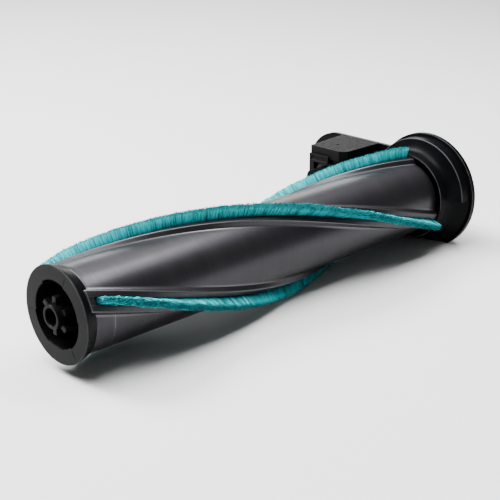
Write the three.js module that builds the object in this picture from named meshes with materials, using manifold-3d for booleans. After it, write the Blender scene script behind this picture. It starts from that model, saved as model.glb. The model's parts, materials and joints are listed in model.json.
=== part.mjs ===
// Powered brush roller of a wet and dry floor scrubber, with the drive unit that turns it.
// Units are millimetres and +Z is up. The roller's axis lies along X: the idler cap is at the
// low end and the drive flange at the high end. +Y points to the back, where the motor is.
// Inside this file every piece is drawn from the centre of the idler cap's face; the whole
// group is then moved so that its origin is the middle of its footprint, on the floor.

import * as THREE from 'three';
import { mergeVertices } from 'three/addons/utils/BufferGeometryUtils.js';
import Module from 'manifold-3d';

const wasm = await Module();
wasm.setup();

// ---------------------------------------------------------------- driving dimensions

const GAP = 0.3; // clearance between pieces that touch on the real object
const FLOOR_Z = -26.6; // the floor, seen from the roller's axis

const CAP = { face: 0, back: 5.6, faceRadius: 21.5, backRadius: 20.0, edge: 0.15 };
const POCKET = { radius: 14.4, floor: 15, stepDepth: 2.5, stepStart: -35, stepSpan: 58 };
const HUB = { nose: -2.8, radius: 5.4, boreRadius: 3.8, boreEnd: 13 };
const RIB = { count: 6, nose: -0.9, radius: 8.6, width: 2.6, firstAngle: 3 };
const TUBE = { start: CAP.back + GAP, end: 228.8, radius: 19.4, boreRadius: 16.4 };
const RAIL = {
  count: 3,
  start: 3.4,
  topRadius: 21.7,
  topHalf: 4.6,
  footHalf: 5.4,
  firstAngle: 56.8, // of the first rail's middle, at the cap's face
  twist: 0.79, // degrees for each millimetre along the roller
  twistSteps: 26,
};
const SLOT = { half: 1.8, floorRadius: 17.9, lipRise: 0.4 };
const STRIP = { start: 6.7, end: 226.6, backingTop: 19.3, half: 1.5, tipRadius: -FLOOR_Z };

const COLLAR = { front: 228.6, inner: 22.1, outer: 23.1, floor: 235.8 };
const DISH = { top: 234.3, ringFront: 237.4, lowFront: 236, lowRadius: 29.5, ringRadius: 30 };
const RING_SECTOR = { from: -130, to: 88 };
const RIM = { front: 244.2, back: 246.6, radius: 31.6, topZ: 20 };
const END = { y: 64.6, radius: 20 }; // the housing's round end, behind the roller
const LAYSHAFT = { y: 65.4, z: 0, radius: 2, front: 234.6, back: 250.4, bossRadius: 4.2 };
const WALL = 1.6;
const TUNNEL = {
  front: DISH.ringFront,
  floor: DISH.ringFront + WALL,
  drumRadius: 20.3,
  layRadius: 8.5,
};
const COVER = { front: RIM.back + GAP, face: 252.4, gearRoom: 15.5 };
const PLATE_INSET = { flange: 0, edge: 0, foot: 0 };
const COVER_INSETS = [
  { flange: 0.6, edge: 0.3, foot: 1.9 },
  { flange: 6.1, edge: 2.7, foot: 4.3 },
];

const BAY = { x0: 215.4, y0: 33, y1: 61, top: 14, wall: 1.8, corner: 3.2 };
const LID = { x0: 214.6, y0: 33.6, y1: 57.6, spread: 3, top: 20, corner: 3.4 };
const CLIP = {
  x0: 213.2,
  y0: 43.7,
  y1: 57.6,
  legY0: 54.2,
  footY0: 51.7,
  top: 15.8,
  barBottom: 11.2,
  footTop: 7.2,
  bottom: 5.1,
};

const GEAR = { module: 0.8, wheelTeeth: 36, pinionTeeth: 12, x0: 247, x1: 250 };
const GEAR_CENTRES = (GEAR.module * (GEAR.wheelTeeth + GEAR.pinionTeeth)) / 2;
const MOTOR_TILT = THREE.MathUtils.degToRad(163.4); // direction of the motor, seen from the layshaft
const MOTOR = {
  y: LAYSHAFT.y + GEAR_CENTRES * Math.cos(MOTOR_TILT),
  z: LAYSHAFT.z + GEAR_CENTRES * Math.sin(MOTOR_TILT),
  radius: 12.2,
  x0: 222.5,
  x1: 237.1,
  bossEnd: 204.5,
  bossRadius: 4.3,
  shaftRadius: 1.5,
  canWall: 0.8,
  bushRadius: 2.8,
};
const ARMATURE = { x0: 225.5, x1: 234.6, radius: 8.2, slots: 5, slotCircle: 7.2, slotRadius: 1.6 };
const MAGNET = { x0: 224.5, x1: 235.6, outer: 11.1, inner: 8.8, halfSpan: 60 };
const TERMINAL = { offset: 7, width: 2.4, thickness: 0.5, out: 3.6, into: 0.2 };
const PULLEY = { x0: 239.8, x1: 244, drumRadius: 18, layRadius: 6 };
const BELT = { x0: 240.1, x1: 243.7, thickness: 1.4 };
const SPINDLE = { nose: 217, shoulder: 228.6, end: 244.2, radius: 5, flats: 11.4 };
const BEARING = { x0: 231, x1: 236, outer: 9.5, split: 7.4, seatFront: 229.2, seatRadius: 11.6 };
const SCREW = { radius: 1.3, headRadius: 2.3, headHeight: 1.5, tip: 239.5 };
const FLANGE_SCREWS = { radius: 22.9, angles: [48, 132, -22] };
const BACK_SCREWS = { bossRadius: 3.2, bossFront: 238, centres: [[28, -20], [63.5, -21.3]] };
const BOARD = { x0: 219, x1: 236, y0: 36, y1: 58, z0: -21.6, z1: -20.4 };
const SOCKET = { x0: 222, x1: 234, y0: 50, y1: 63, z0: -20, z1: -9, wall: 1.2 };
const SOCKET_PINS = { centres: [225.6, 230.4], z: -16, half: 0.5, holeHalf: 0.8 };

// ---------------------------------------------------------------- solids

/** Turns a closed three.js geometry into a manifold solid. */
function solidOf(geometry) {
  const bare = geometry.clone();
  bare.deleteAttribute('normal');
  bare.deleteAttribute('uv');
  const merged = mergeVertices(bare, 1e-4);
  return new wasm.Manifold(
    new wasm.Mesh({
      numProp: 3,
      vertProperties: new Float32Array(merged.attributes.position.array),
      triVerts: new Uint32Array(merged.index.array),
    }),
  );
}

/** Turns a manifold solid back into a three.js geometry. */
function geometryOf(solid) {
  const mesh = solid.getMesh();
  const geometry = new THREE.BufferGeometry();
  geometry.setAttribute('position', new THREE.BufferAttribute(mesh.vertProperties, 3));
  geometry.setIndex(new THREE.BufferAttribute(mesh.triVerts, 1));
  geometry.computeVertexNormals();
  return geometry;
}

const join = (...solids) => solids.reduce((sum, solid) => sum.add(solid));
const cut = (solid, ...tools) => tools.reduce((rest, tool) => rest.subtract(tool), solid);

// Outlines are lists of [y, z] points, counter-clockwise seen from the drive end.

/** A point at an angle from straight up, turning towards the front. */
function polar(radius, degrees) {
  const angle = THREE.MathUtils.degToRad(degrees);
  return [-radius * Math.sin(angle), radius * Math.cos(angle)];
}

/** An arc of points about (y, z), from one angle to another as polar() counts them. */
function arc(radius, from, to, steps, y = 0, z = 0) {
  const points = [];
  for (let i = 0; i <= steps; i += 1) {
    const [dy, dz] = polar(radius, from + ((to - from) * i) / steps);
    points.push([y + dy, z + dz]);
  }
  return points;
}

const segmentsFor = (radius) => 4 * Math.round(1.2 + 1.5 * Math.sqrt(radius));

function circle(radius, y = 0, z = 0, segments = segmentsFor(radius)) {
  return arc(radius, 0, 360, segments, y, z).slice(0, -1);
}

/** The loop round two circles on the Y axis: one at the roller, one at the layshaft. */
function loopOutline(drumRadius, layRadius) {
  const lean = THREE.MathUtils.radToDeg(Math.asin((drumRadius - layRadius) / LAYSHAFT.y));
  const drumSide = arc(drumRadius, -lean, 180 + lean, 20);
  const laySide = arc(layRadius, 180 + lean, 360 - lean, 12, LAYSHAFT.y, LAYSHAFT.z);
  return [...drumSide, ...laySide];
}

/** Extrudes an outline along X. Holes are outlines too. */
function prismGeometry(outline, x0, x1, holes = [], steps = 1) {
  const toVectors = (points) => points.map(([y, z]) => new THREE.Vector2(y, z));
  const shape = new THREE.Shape(toVectors(outline));
  holes.forEach((hole) => shape.holes.push(new THREE.Path(toVectors(hole))));
  const geometry = new THREE.ExtrudeGeometry(shape, { depth: x1 - x0, steps, bevelEnabled: false });
  const alongX = new THREE.Matrix4().makeBasis(
    new THREE.Vector3(0, 1, 0),
    new THREE.Vector3(0, 0, 1),
    new THREE.Vector3(1, 0, 0),
  );
  return geometry.applyMatrix4(alongX).translate(x0, 0, 0);
}

const prism = (outline, x0, x1, holes) => solidOf(prismGeometry(outline, x0, x1, holes));
const disc = (radius, x0, x1, y, z) => prism(circle(radius, y, z), x0, x1);

/** A ring along X between two radii. */
function ring(outer, inner, x0, x1, y = 0, z = 0) {
  return prism(circle(outer, y, z), x0, x1, [circle(inner, y, z)]);
}

/** A solid of revolution about the roller's axis, from a closed profile of [x, radius] points. */
function turned(profile) {
  const points = profile.map(([x, radius]) => new THREE.Vector2(radius, x));
  const geometry = new THREE.LatheGeometry([...points, points[0]], 44);
  const alongX = new THREE.Matrix4().makeBasis(
    new THREE.Vector3(0, 1, 0),
    new THREE.Vector3(1, 0, 0),
    new THREE.Vector3(0, 0, -1),
  );
  return solidOf(geometry.applyMatrix4(alongX));
}

/** A box between two corners. */
function box(x0, x1, y0, y1, z0, z1) {
  const geometry = new THREE.BoxGeometry(x1 - x0, y1 - y0, z1 - z0);
  return solidOf(geometry.translate((x0 + x1) / 2, (y0 + y1) / 2, (z0 + z1) / 2));
}

/** Extrudes an outline along X while it turns about the roller's axis with the rails' twist. */
function twistedPrism(outline, x0, x1, steps = RAIL.twistSteps) {
  const geometry = prismGeometry(outline, x0, x1, [], steps);
  const position = geometry.attributes.position;
  const point = new THREE.Vector3();
  const axis = new THREE.Vector3(1, 0, 0);
  for (let i = 0; i < position.count; i += 1) {
    point.fromBufferAttribute(position, i);
    point.applyAxisAngle(axis, THREE.MathUtils.degToRad(RAIL.twist * point.x));
    position.setXYZ(i, point.x, point.y, point.z);
  }
  return solidOf(geometry);
}

/** Turns an outline about the roller's axis. */
function turnOutline(outline, degrees) {
  const angle = THREE.MathUtils.degToRad(degrees);
  const cos = Math.cos(angle);
  const sin = Math.sin(angle);
  return outline.map(([y, z]) => [y * cos - z * sin, y * sin + z * cos]);
}

const railAngle = (index) => RAIL.firstAngle + (360 / RAIL.count) * index;

// ---------------------------------------------------------------- materials

const material = (color, roughness, metalness = 0) =>
  new THREE.MeshStandardMaterial({ color, roughness, metalness });

const greyMetal = () => material(0x85858b, 0.3, 0.75);
const turquoisePile = () => material(0x42a8ad, 0.85);
const tealPlastic = () => material(0x2c7f84, 0.6);
const capBlack = () => material(0x2d2e30, 0.42);
const housingBlack = () => material(0x2a2b2d, 0.45);
const mattBlack = () => material(0x4b4b4d, 0.7);
const steel = () => material(0xb9babd, 0.3, 1);
const zincSteel = () => material(0x9da0a4, 0.35, 1);
const brass = () => material(0xb8954a, 0.35, 1);
const rubber = () => material(0x161718, 0.9);
const acetal = () => material(0xe6e2d6, 0.5);
const ferrite = () => material(0x3a3a3d, 0.8);
const copper = () => material(0xb4673a, 0.35, 1);
const boardGreen = () => material(0x1f5c36, 0.5);
const redWire = () => material(0xa02020, 0.6);
const blackWire = () => material(0x202020, 0.6);

const assembly = new THREE.Group();

/** Adds one named piece to the assembly. */
function addPiece(name, solid, pieceMaterial) {
  const mesh = new THREE.Mesh(geometryOf(solid), pieceMaterial);
  mesh.name = name;
  assembly.add(mesh);
}

// ---------------------------------------------------------------- roller

/** One third of the tube's outside: a raised rail with its slot, then plain wall. */
function railSector() {
  const railTop = Math.sqrt(RAIL.topRadius ** 2 - RAIL.topHalf ** 2);
  const foot = Math.sqrt(TUBE.radius ** 2 - RAIL.footHalf ** 2);
  const footAngle = THREE.MathUtils.radToDeg(Math.asin(RAIL.footHalf / TUBE.radius));
  return [
    [RAIL.footHalf, foot],
    [RAIL.topHalf, railTop],
    [SLOT.half, railTop + SLOT.lipRise],
    [SLOT.half, SLOT.floorRadius],
    [-SLOT.half, SLOT.floorRadius],
    [-SLOT.half, railTop + SLOT.lipRise],
    [-RAIL.topHalf, railTop],
    [-RAIL.footHalf, foot],
    ...arc(TUBE.radius, footAngle, 360 / RAIL.count - footAngle, 7).slice(1, -1),
  ];
}

function tubeOutline() {
  const outline = [];
  for (let i = 0; i < RAIL.count; i += 1) {
    outline.push(...turnOutline(railSector(), railAngle(i)));
  }
  return outline;
}

/** Grey metal tube with three helical rails. The rails reach past it into the cap's notches. */
function rollerTube() {
  const bar = twistedPrism(tubeOutline(), RAIL.start, TUBE.end);
  const bore = disc(TUBE.boreRadius, RAIL.start - 1, TUBE.end + 1);
  const capSeat = disc(TUBE.radius + GAP, RAIL.start - 1, TUBE.start);
  return cut(bar, bore, capSeat);
}

/** The stiff strip at the bottom of a rail's slot. */
function bristleBacking(index) {
  const half = SLOT.half - GAP;
  const low = SLOT.floorRadius + GAP;
  const outline = [[half, low], [half, STRIP.backingTop], [-half, STRIP.backingTop], [-half, low]];
  return twistedPrism(turnOutline(outline, railAngle(index)), STRIP.start, STRIP.end);
}

/** The dense pile that stands on a backing. */
function bristleStrip(index) {
  const low = STRIP.backingTop + GAP;
  const shoulder = STRIP.tipRadius - 0.3;
  const outline = [
    [STRIP.half, low],
    [STRIP.half - 0.2, shoulder],
    [0, STRIP.tipRadius],
    [0.2 - STRIP.half, shoulder],
    [-STRIP.half, low],
  ];
  return twistedPrism(turnOutline(outline, railAngle(index)), STRIP.start, STRIP.end);
}

/** The cap's cup, turned in one piece. */
function capCup() {
  const spigot = TUBE.boreRadius - GAP;
  const bottom = POCKET.floor + 2;
  return turned([
    [CAP.face + CAP.edge, CAP.faceRadius],
    [CAP.back, CAP.backRadius],
    [CAP.back, spigot],
    [bottom, spigot],
    [bottom, 0],
    [POCKET.floor, 0],
    [POCKET.floor, POCKET.radius],
    [CAP.face, POCKET.radius],
    [CAP.face, CAP.faceRadius - CAP.edge],
  ]);
}

/** One rib of the cap's splined hub. */
function hubRib(index) {
  const half = RIB.width / 2;
  const outline = [[half, 0], [half, RIB.radius], [-half, RIB.radius], [-half, 0]];
  const angle = RIB.firstAngle + (360 / RIB.count) * index;
  return prism(turnOutline(outline, angle), RIB.nose, POCKET.floor + 1);
}

/** The room that one rail's end needs in the cap's rim. */
function railNotch(index) {
  const half = RAIL.footHalf + GAP;
  const low = TUBE.radius - 1.3;
  const high = RAIL.topRadius + 2;
  const outline = [[half, low], [half, high], [-half, high], [-half, low]];
  return twistedPrism(turnOutline(outline, railAngle(index)), RAIL.start - GAP, CAP.back + 1, 1);
}

/** One of the three shallow steps that widen the mouth of the cap's pocket. */
function pocketStep(index) {
  const from = POCKET.stepStart + (360 / RAIL.count) * index;
  const to = from + POCKET.stepSpan;
  const outer = arc(POCKET.radius + 0.7, from, to, 8);
  const inner = arc(POCKET.radius - 1.5, to, from, 8);
  return prism([...outer, ...inner], CAP.face - 1, CAP.face + POCKET.stepDepth);
}

/** Black idler cap: a hollow cup with a splined hub, notched for the rails' ends. */
function endCap() {
  const parts = [capCup(), disc(HUB.radius, HUB.nose, POCKET.floor + 1)];
  for (let i = 0; i < RIB.count; i += 1) {
    parts.push(hubRib(i));
  }
  const tools = [disc(HUB.boreRadius, HUB.nose - 1, HUB.boreEnd)];
  for (let i = 0; i < RAIL.count; i += 1) {
    tools.push(railNotch(i), pocketStep(i));
  }
  return cut(join(...parts), ...tools);
}

// ---------------------------------------------------------------- drive spindle

/** A hexagon, given by its width across the flats. */
const hexagon = (flats) => circle(flats / Math.sqrt(3), 0, 0, 6);

/** Black plug in the drive end of the tube, with a hexagonal socket. */
function drivePlug() {
  const plug = disc(TUBE.boreRadius - GAP, SPINDLE.nose - 2.5, TUBE.end - 1);
  const socket = prism(hexagon(SPINDLE.flats + 2 * GAP), SPINDLE.nose - GAP, TUBE.end);
  return cut(plug, socket);
}

/** Steel spindle: a hexagonal nose in the plug, and a journal in the bearing. */
function driveSpindle() {
  const nose = prism(hexagon(SPINDLE.flats), SPINDLE.nose, SPINDLE.shoulder);
  const journal = disc(SPINDLE.radius, SPINDLE.shoulder - 1, SPINDLE.end);
  const thread = disc(SCREW.radius + GAP, SPINDLE.end - 8, SPINDLE.end + 1);
  return cut(join(nose, journal), thread);
}

const bearingRing = (outer, inner) => ring(outer, inner, BEARING.x0, BEARING.x1);
const layshaft = () => disc(LAYSHAFT.radius, LAYSHAFT.front, LAYSHAFT.back, LAYSHAFT.y, LAYSHAFT.z);

/** Belt pulley on the spindle: a web with a rim. */
function drumPulley() {
  const wheel = disc(PULLEY.drumRadius, PULLEY.x0, PULLEY.x1);
  const bore = disc(SPINDLE.radius + GAP, PULLEY.x0 - 1, PULLEY.x1 + 1);
  const recess = ring(PULLEY.drumRadius - 2, 8, PULLEY.x0 + 1.6, PULLEY.x1 + 1);
  return cut(wheel, bore, recess);
}

/** Screw along X whose head seats at one station, with a cross slot. */
function screw(seat, tip, y, z, headRadius = SCREW.headRadius) {
  const head = disc(headRadius, seat, seat + SCREW.headHeight, y, z);
  const shank = disc(SCREW.radius, tip, seat + 0.5, y, z);
  const slotX = seat + SCREW.headHeight - 0.7;
  const reach = headRadius * 0.65;
  const across = box(slotX, slotX + 2, y - reach, y + reach, z - 0.3, z + 0.3);
  const upright = box(slotX, slotX + 2, y - 0.3, y + 0.3, z - reach, z + reach);
  return cut(join(head, shank), across, upright);
}

// ---------------------------------------------------------------- drive housing

/** The housing's outline: flange circle, flat foot, bevelled corner, round end and flat top. */
function housingOutline(inset) {
  const flange = RIM.radius - inset.flange;
  const end = END.radius - inset.edge;
  const top = RIM.topZ - inset.edge;
  const foot = FLOOR_Z + inset.foot;
  const topAngle = -THREE.MathUtils.radToDeg(Math.acos(top / flange));
  const footAngle = THREE.MathUtils.radToDeg(Math.acos(foot / flange));
  const bevelY = END.y + end * Math.SQRT2 + foot;
  return [
    ...arc(flange, topAngle, footAngle, 32),
    [bevelY, foot],
    ...arc(end, 225, 360, 14, END.y, 0),
  ];
}

/** A solid between two outlines with the same number of points. */
function loft(outlineA, xA, outlineB, xB) {
  const count = outlineA.length;
  const positions = [
    ...outlineA.flatMap(([y, z]) => [xA, y, z]),
    ...outlineB.flatMap(([y, z]) => [xB, y, z]),
  ];
  const toVectors = (points) => points.map(([y, z]) => new THREE.Vector2(y, z));
  const capA = THREE.ShapeUtils.triangulateShape(toVectors(outlineA), []);
  const capB = THREE.ShapeUtils.triangulateShape(toVectors(outlineB), []);
  const index = [
    ...capA.flatMap(([a, b, c]) => [a, c, b]),
    ...capB.flatMap(([a, b, c]) => [a + count, b + count, c + count]),
  ];
  for (let i = 0; i < count; i += 1) {
    const j = (i + 1) % count;
    index.push(i, j, j + count, i, j + count, i + count);
  }
  const geometry = new THREE.BufferGeometry();
  geometry.setAttribute('position', new THREE.Float32BufferAttribute(positions, 3));
  geometry.setIndex(index);
  return solidOf(geometry);
}

/** Where the cover's screws go, as [y, z]. */
const coverScrews = () => [
  ...FLANGE_SCREWS.angles.map((angle) => polar(FLANGE_SCREWS.radius, angle)),
  ...BACK_SCREWS.centres,
];

/** Collar, dish and raised ring: the round front of the housing. */
function housingFront() {
  const back = RIM.front + 0.2;
  const low = turned([
    [COLLAR.floor, 0],
    [COLLAR.floor, COLLAR.inner],
    [COLLAR.front, COLLAR.inner],
    [COLLAR.front, COLLAR.outer],
    [DISH.lowFront, COLLAR.outer],
    [back, DISH.lowRadius],
    [back, 0],
  ]);
  const high = turned([
    [DISH.top, COLLAR.outer - 0.5],
    [DISH.top, COLLAR.outer],
    [DISH.ringFront, DISH.ringRadius],
    [back, DISH.ringRadius],
    [back, COLLAR.outer - 0.5],
  ]);
  const wedge = [[0, 0], ...arc(2 * RIM.radius, RING_SECTOR.from, RING_SECTOR.to, 12)];
  const raised = high.intersect(prism(wedge, DISH.top - 1, back + 1));
  const bearingSeat = disc(BEARING.seatRadius, BEARING.seatFront, COLLAR.floor + 1);
  return join(low, raised, bearingSeat);
}

/** A block in the motor bay's outline, with its back corner cropped, drawn in by an inset. */
function bayBlock(inset, x1, z0, z1) {
  const [x0, y0, y1] = [BAY.x0 + inset, BAY.y0 + inset, BAY.y1 - inset];
  const corner = BAY.corner - inset * (2 - Math.SQRT2);
  const shape = new THREE.Shape();
  shape.moveTo(x0, y0);
  shape.lineTo(x1, y0);
  shape.lineTo(x1, y1);
  shape.lineTo(x0 + corner, y1);
  shape.lineTo(x0, y1 - corner);
  const geometry = new THREE.ExtrudeGeometry(shape, { depth: z1 - z0, bevelEnabled: false });
  return solidOf(geometry.translate(0, 0, z0));
}

/** The belt tunnel and the motor bay, hollow from the side that the cover closes. */
function housingRooms() {
  const { y0, y1, top, wall } = BAY;
  const bottom = FLOOR_Z + wall;
  const outside = RIM.back + 1;
  return [
    prism(loopOutline(TUNNEL.drumRadius, TUNNEL.layRadius), TUNNEL.floor, outside),
    box(TUNNEL.floor, outside, y0 + wall, y1 - wall, bottom, top - WALL),
    bayBlock(wall, TUNNEL.front, bottom, top + 1),
  ];
}

/** The holes in the housing: bearing, shafts, motor boss, power socket and screws. */
function housingHoles() {
  const inside = TUNNEL.floor + 1;
  const socketZ = [SOCKET.z0 - GAP, SOCKET.z1 + GAP];
  return [
    disc(BEARING.outer + GAP, BEARING.seatFront - 1, BEARING.x1 + 0.2),
    disc(SPINDLE.radius + 1, BEARING.x1 - 1, inside),
    disc(MOTOR.shaftRadius + 1.7, TUNNEL.front - 1, inside, MOTOR.y, MOTOR.z),
    disc(MOTOR.bossRadius + 2.6, BAY.x0 - 1, BAY.x0 + BAY.wall + 1, MOTOR.y, MOTOR.z),
    disc(LAYSHAFT.radius + GAP, LAYSHAFT.front - GAP, inside, LAYSHAFT.y, LAYSHAFT.z),
    box(SOCKET.x0 - GAP, SOCKET.x1 + GAP, BAY.y1 - 4, BAY.y1 + 1, ...socketZ),
    ...coverScrews().map(([y, z]) => disc(SCREW.radius + GAP, SCREW.tip - 0.5, RIM.back + 1, y, z)),
  ];
}

/** One black moulding: flange, collar, belt tunnel and motor bay. */
function driveHousing() {
  const back = RIM.front + 0.2;
  const tunnel = loopOutline(TUNNEL.drumRadius + WALL, TUNNEL.layRadius + WALL);
  const screwBosses = BACK_SCREWS.centres.map(([y, z]) =>
    disc(BACK_SCREWS.bossRadius, BACK_SCREWS.bossFront, back, y, z),
  );
  const body = join(
    prism(housingOutline(PLATE_INSET), RIM.front, RIM.back),
    housingFront(),
    prism(tunnel, TUNNEL.front, back),
    bayBlock(0, back, FLOOR_Z, BAY.top),
    disc(LAYSHAFT.bossRadius, LAYSHAFT.front - 1.2, TUNNEL.front + 1, LAYSHAFT.y, LAYSHAFT.z),
    ...screwBosses,
  );
  const underFloor = box(COLLAR.front - 1, RIM.back + 1, -40, 90, FLOOR_Z - 20, FLOOR_Z);
  return cut(body, ...housingRooms(), ...housingHoles(), underFloor);
}

/** Black cover over the belt and gears, with bevelled edges. */
function housingCover() {
  const [frontInset, faceInset] = COVER_INSETS;
  const shell = loft(
    housingOutline(frontInset),
    COVER.front,
    housingOutline(faceInset),
    COVER.face,
  );
  const inside = COVER.face - WALL;
  const start = COVER.front - 1;
  const tools = [
    disc(12, start, inside),
    disc(COVER.gearRoom, start, inside, LAYSHAFT.y, LAYSHAFT.z),
    disc(7, start, inside, MOTOR.y, MOTOR.z),
  ];
  const seat = COVER.face - SCREW.headHeight - GAP;
  coverScrews().forEach(([y, z]) => {
    tools.push(disc(SCREW.radius + GAP, start, COVER.face + 1, y, z));
    tools.push(disc(SCREW.headRadius + GAP, seat, COVER.face + 1, y, z));
  });
  return cut(shell, ...tools);
}

/** The lid's outline seen from above: one cropped corner, and a back edge that runs outwards. */
function lidShape(x1) {
  const shape = new THREE.Shape();
  shape.moveTo(LID.x0 + LID.corner, LID.y0);
  shape.lineTo(x1, LID.y0);
  shape.lineTo(x1, LID.y1 + LID.spread);
  shape.lineTo(LID.x0, LID.y1);
  shape.lineTo(LID.x0, LID.y0 + LID.corner);
  return shape;
}

/** Matt lid over the motor bay: a flat plate with a skirt. */
function bayLid() {
  const x1 = RIM.front - GAP;
  const bottom = BAY.top + GAP;
  const depth = LID.top - bottom;
  const block = new THREE.ExtrudeGeometry(lidShape(x1), { depth, bevelEnabled: false });
  const room = LID.x0 + WALL + LID.corner / 2;
  const ceiling = LID.top - WALL;
  const inside = box(room, x1 - WALL, LID.y0 + WALL, LID.y1 - WALL, bottom - 1, ceiling);
  const around = WALL + GAP;
  const tunnel = loopOutline(TUNNEL.drumRadius + around, TUNNEL.layRadius + around);
  const tunnelRoom = prism(tunnel, TUNNEL.front - GAP, x1 + 1);
  return cut(solidOf(block.translate(0, 0, bottom)), inside, tunnelRoom);
}

/** C-shaped clip on the end of the motor bay, in front of the lid's skirt. */
function lidClip() {
  const x1 = LID.x0 - GAP;
  return join(
    box(CLIP.x0, x1, CLIP.y0, CLIP.y1, CLIP.barBottom, CLIP.top),
    box(CLIP.x0, x1, CLIP.footY0, CLIP.y1, CLIP.bottom, CLIP.footTop),
    box(CLIP.x0, BAY.x0 - GAP, CLIP.legY0, CLIP.y1, CLIP.bottom, BAY.top),
  );
}

// ---------------------------------------------------------------- gears and belt

/** A spur gear's outline, with straight flanks. The first tooth is centred on `phase` degrees. */
function gearOutline(teeth, phase, y, z) {
  const pitchRadius = (GEAR.module * teeth) / 2;
  const rootRadius = pitchRadius - 1.25 * GEAR.module;
  const tipRadius = pitchRadius + 0.9 * GEAR.module;
  const pitchHalf = (Math.PI * GEAR.module) / 4 - 0.12;
  const lean = Math.tan(THREE.MathUtils.degToRad(20));
  const degreesAt = (radius) => {
    const half = pitchHalf + (pitchRadius - radius) * lean;
    return THREE.MathUtils.radToDeg(half / radius);
  };
  const points = [];
  for (let i = 0; i < teeth; i += 1) {
    const centre = phase + (360 * i) / teeth;
    const corners = [
      [rootRadius, -degreesAt(rootRadius)],
      [tipRadius, -degreesAt(tipRadius)],
      [tipRadius, degreesAt(tipRadius)],
      [rootRadius, degreesAt(rootRadius)],
    ];
    corners.forEach(([radius, offset]) => {
      const [dy, dz] = polar(radius, centre + offset);
      points.push([y + dy, z + dz]);
    });
  }
  return points;
}

/** Direction from the layshaft to the motor, as polar() counts angles. */
const meshAngle = THREE.MathUtils.radToDeg(MOTOR_TILT) - 90;

/** Acetal wheel and belt pulley in one piece, turning on the layshaft. */
function reductionGear() {
  const phase = meshAngle + 180 / GEAR.wheelTeeth;
  const { y, z } = LAYSHAFT;
  const wheel = prism(gearOutline(GEAR.wheelTeeth, phase, y, z), GEAR.x0, GEAR.x1);
  const pulley = disc(PULLEY.layRadius, PULLEY.x0 - 0.3, GEAR.x0 + 1, y, z);
  const flange = disc(PULLEY.layRadius + 1.6, PULLEY.x1, PULLEY.x1 + 1, y, z);
  const bore = disc(LAYSHAFT.radius + GAP, PULLEY.x0 - 2, GEAR.x1 + 1, y, z);
  return cut(join(wheel, pulley, flange), bore);
}

/** Brass pinion on the motor's shaft. */
function motorPinion() {
  const outline = gearOutline(GEAR.pinionTeeth, meshAngle + 180, MOTOR.y, MOTOR.z);
  const hole = circle(MOTOR.shaftRadius + GAP, MOTOR.y, MOTOR.z);
  return prism(outline, GEAR.x0, GEAR.x1, [hole]);
}

/** Flat belt round both pulleys. */
function driveBelt() {
  const loopAt = (lift) => loopOutline(PULLEY.drumRadius + lift, PULLEY.layRadius + lift);
  return prism(loopAt(GAP + BELT.thickness), BELT.x0, BELT.x1, [loopAt(GAP)]);
}

// ---------------------------------------------------------------- motor

const motorDisc = (radius, x0, x1) => disc(radius, x0, x1, MOTOR.y, MOTOR.z);
const motorRing = (outer, inner, x0, x1) => ring(outer, inner, x0, x1, MOTOR.y, MOTOR.z);

/** Steel can, open towards the endbell. */
function motorCan() {
  const { radius, x0, x1, canWall, bushRadius } = MOTOR;
  const can = motorDisc(radius, x0, x1);
  const inside = motorDisc(radius - canWall, x0 - 1, x1 - 1);
  const nose = motorDisc(bushRadius + GAP, x1 - 2, x1 + 1);
  return cut(can, inside, nose);
}

/** Black plastic endbell with the long boss that carries the rear bush. */
function motorEndbell() {
  const { radius, x0, bossEnd, bossRadius, bushRadius } = MOTOR;
  const back = x0 - GAP;
  const plate = motorDisc(radius, back - 1.5, back);
  const boss = motorDisc(bossRadius, bossEnd, back - 1);
  const bore = motorDisc(bushRadius + GAP, bossEnd + 1.5, x0);
  return cut(join(plate, boss), bore, ...terminals(GAP));
}

/** The two brass blades of the endbell, or their slots when there is a margin. */
function terminals(margin) {
  const { y, z, x0 } = MOTOR;
  const { offset, width, thickness, out, into } = TERMINAL;
  const across = width / 2 + margin;
  const up = thickness / 2 + margin;
  return [y - offset, y + offset].map((middle) =>
    box(x0 - out - margin, x0 + into + margin, middle - across, middle + across, z - up, z + up),
  );
}

/** Laminated armature with five slots. */
function motorArmature() {
  const { x0, x1, radius, slots, slotCircle, slotRadius } = ARMATURE;
  const tools = [motorDisc(MOTOR.shaftRadius + GAP, x0 - 1, x1 + 1)];
  for (let i = 0; i < slots; i += 1) {
    const [dy, dz] = polar(slotCircle, (360 / slots) * i);
    tools.push(disc(slotRadius, x0 - 1, x1 + 1, MOTOR.y + dy, MOTOR.z + dz));
  }
  return cut(motorDisc(radius, x0, x1), ...tools);
}

/** One curved magnet inside the can. */
function motorMagnet(middle) {
  const from = middle - MAGNET.halfSpan;
  const to = middle + MAGNET.halfSpan;
  const outer = arc(MAGNET.outer, from, to, 12, MOTOR.y, MOTOR.z);
  const inner = arc(MAGNET.inner, to, from, 12, MOTOR.y, MOTOR.z);
  return prism([...outer, ...inner], MAGNET.x0, MAGNET.x1);
}

// ---------------------------------------------------------------- electrics

const driverBoard = () => box(BOARD.x0, BOARD.x1, BOARD.y0, BOARD.y1, BOARD.z0, BOARD.z1);

/** Lead from a motor terminal down to the board, round the end of the motor. */
function leadWire(offset) {
  const { y, z, x0 } = MOTOR;
  const route = new THREE.CatmullRomCurve3([
    new THREE.Vector3(x0 - 3.1, y + offset, z - 1.3),
    new THREE.Vector3(x0 - 3.1, y + offset, -4),
    new THREE.Vector3(x0 - 2.6, y + offset * 0.8, -12),
    new THREE.Vector3(x0 - 1, y + offset * 0.6, BOARD.z1 + GAP),
  ]);
  const section = new THREE.Shape(circle(0.6, 0, 0, 8).map(([u, v]) => new THREE.Vector2(u, v)));
  const extrusion = { steps: 12, extrudePath: route, bevelEnabled: false };
  return solidOf(new THREE.ExtrudeGeometry(section, extrusion));
}

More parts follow.
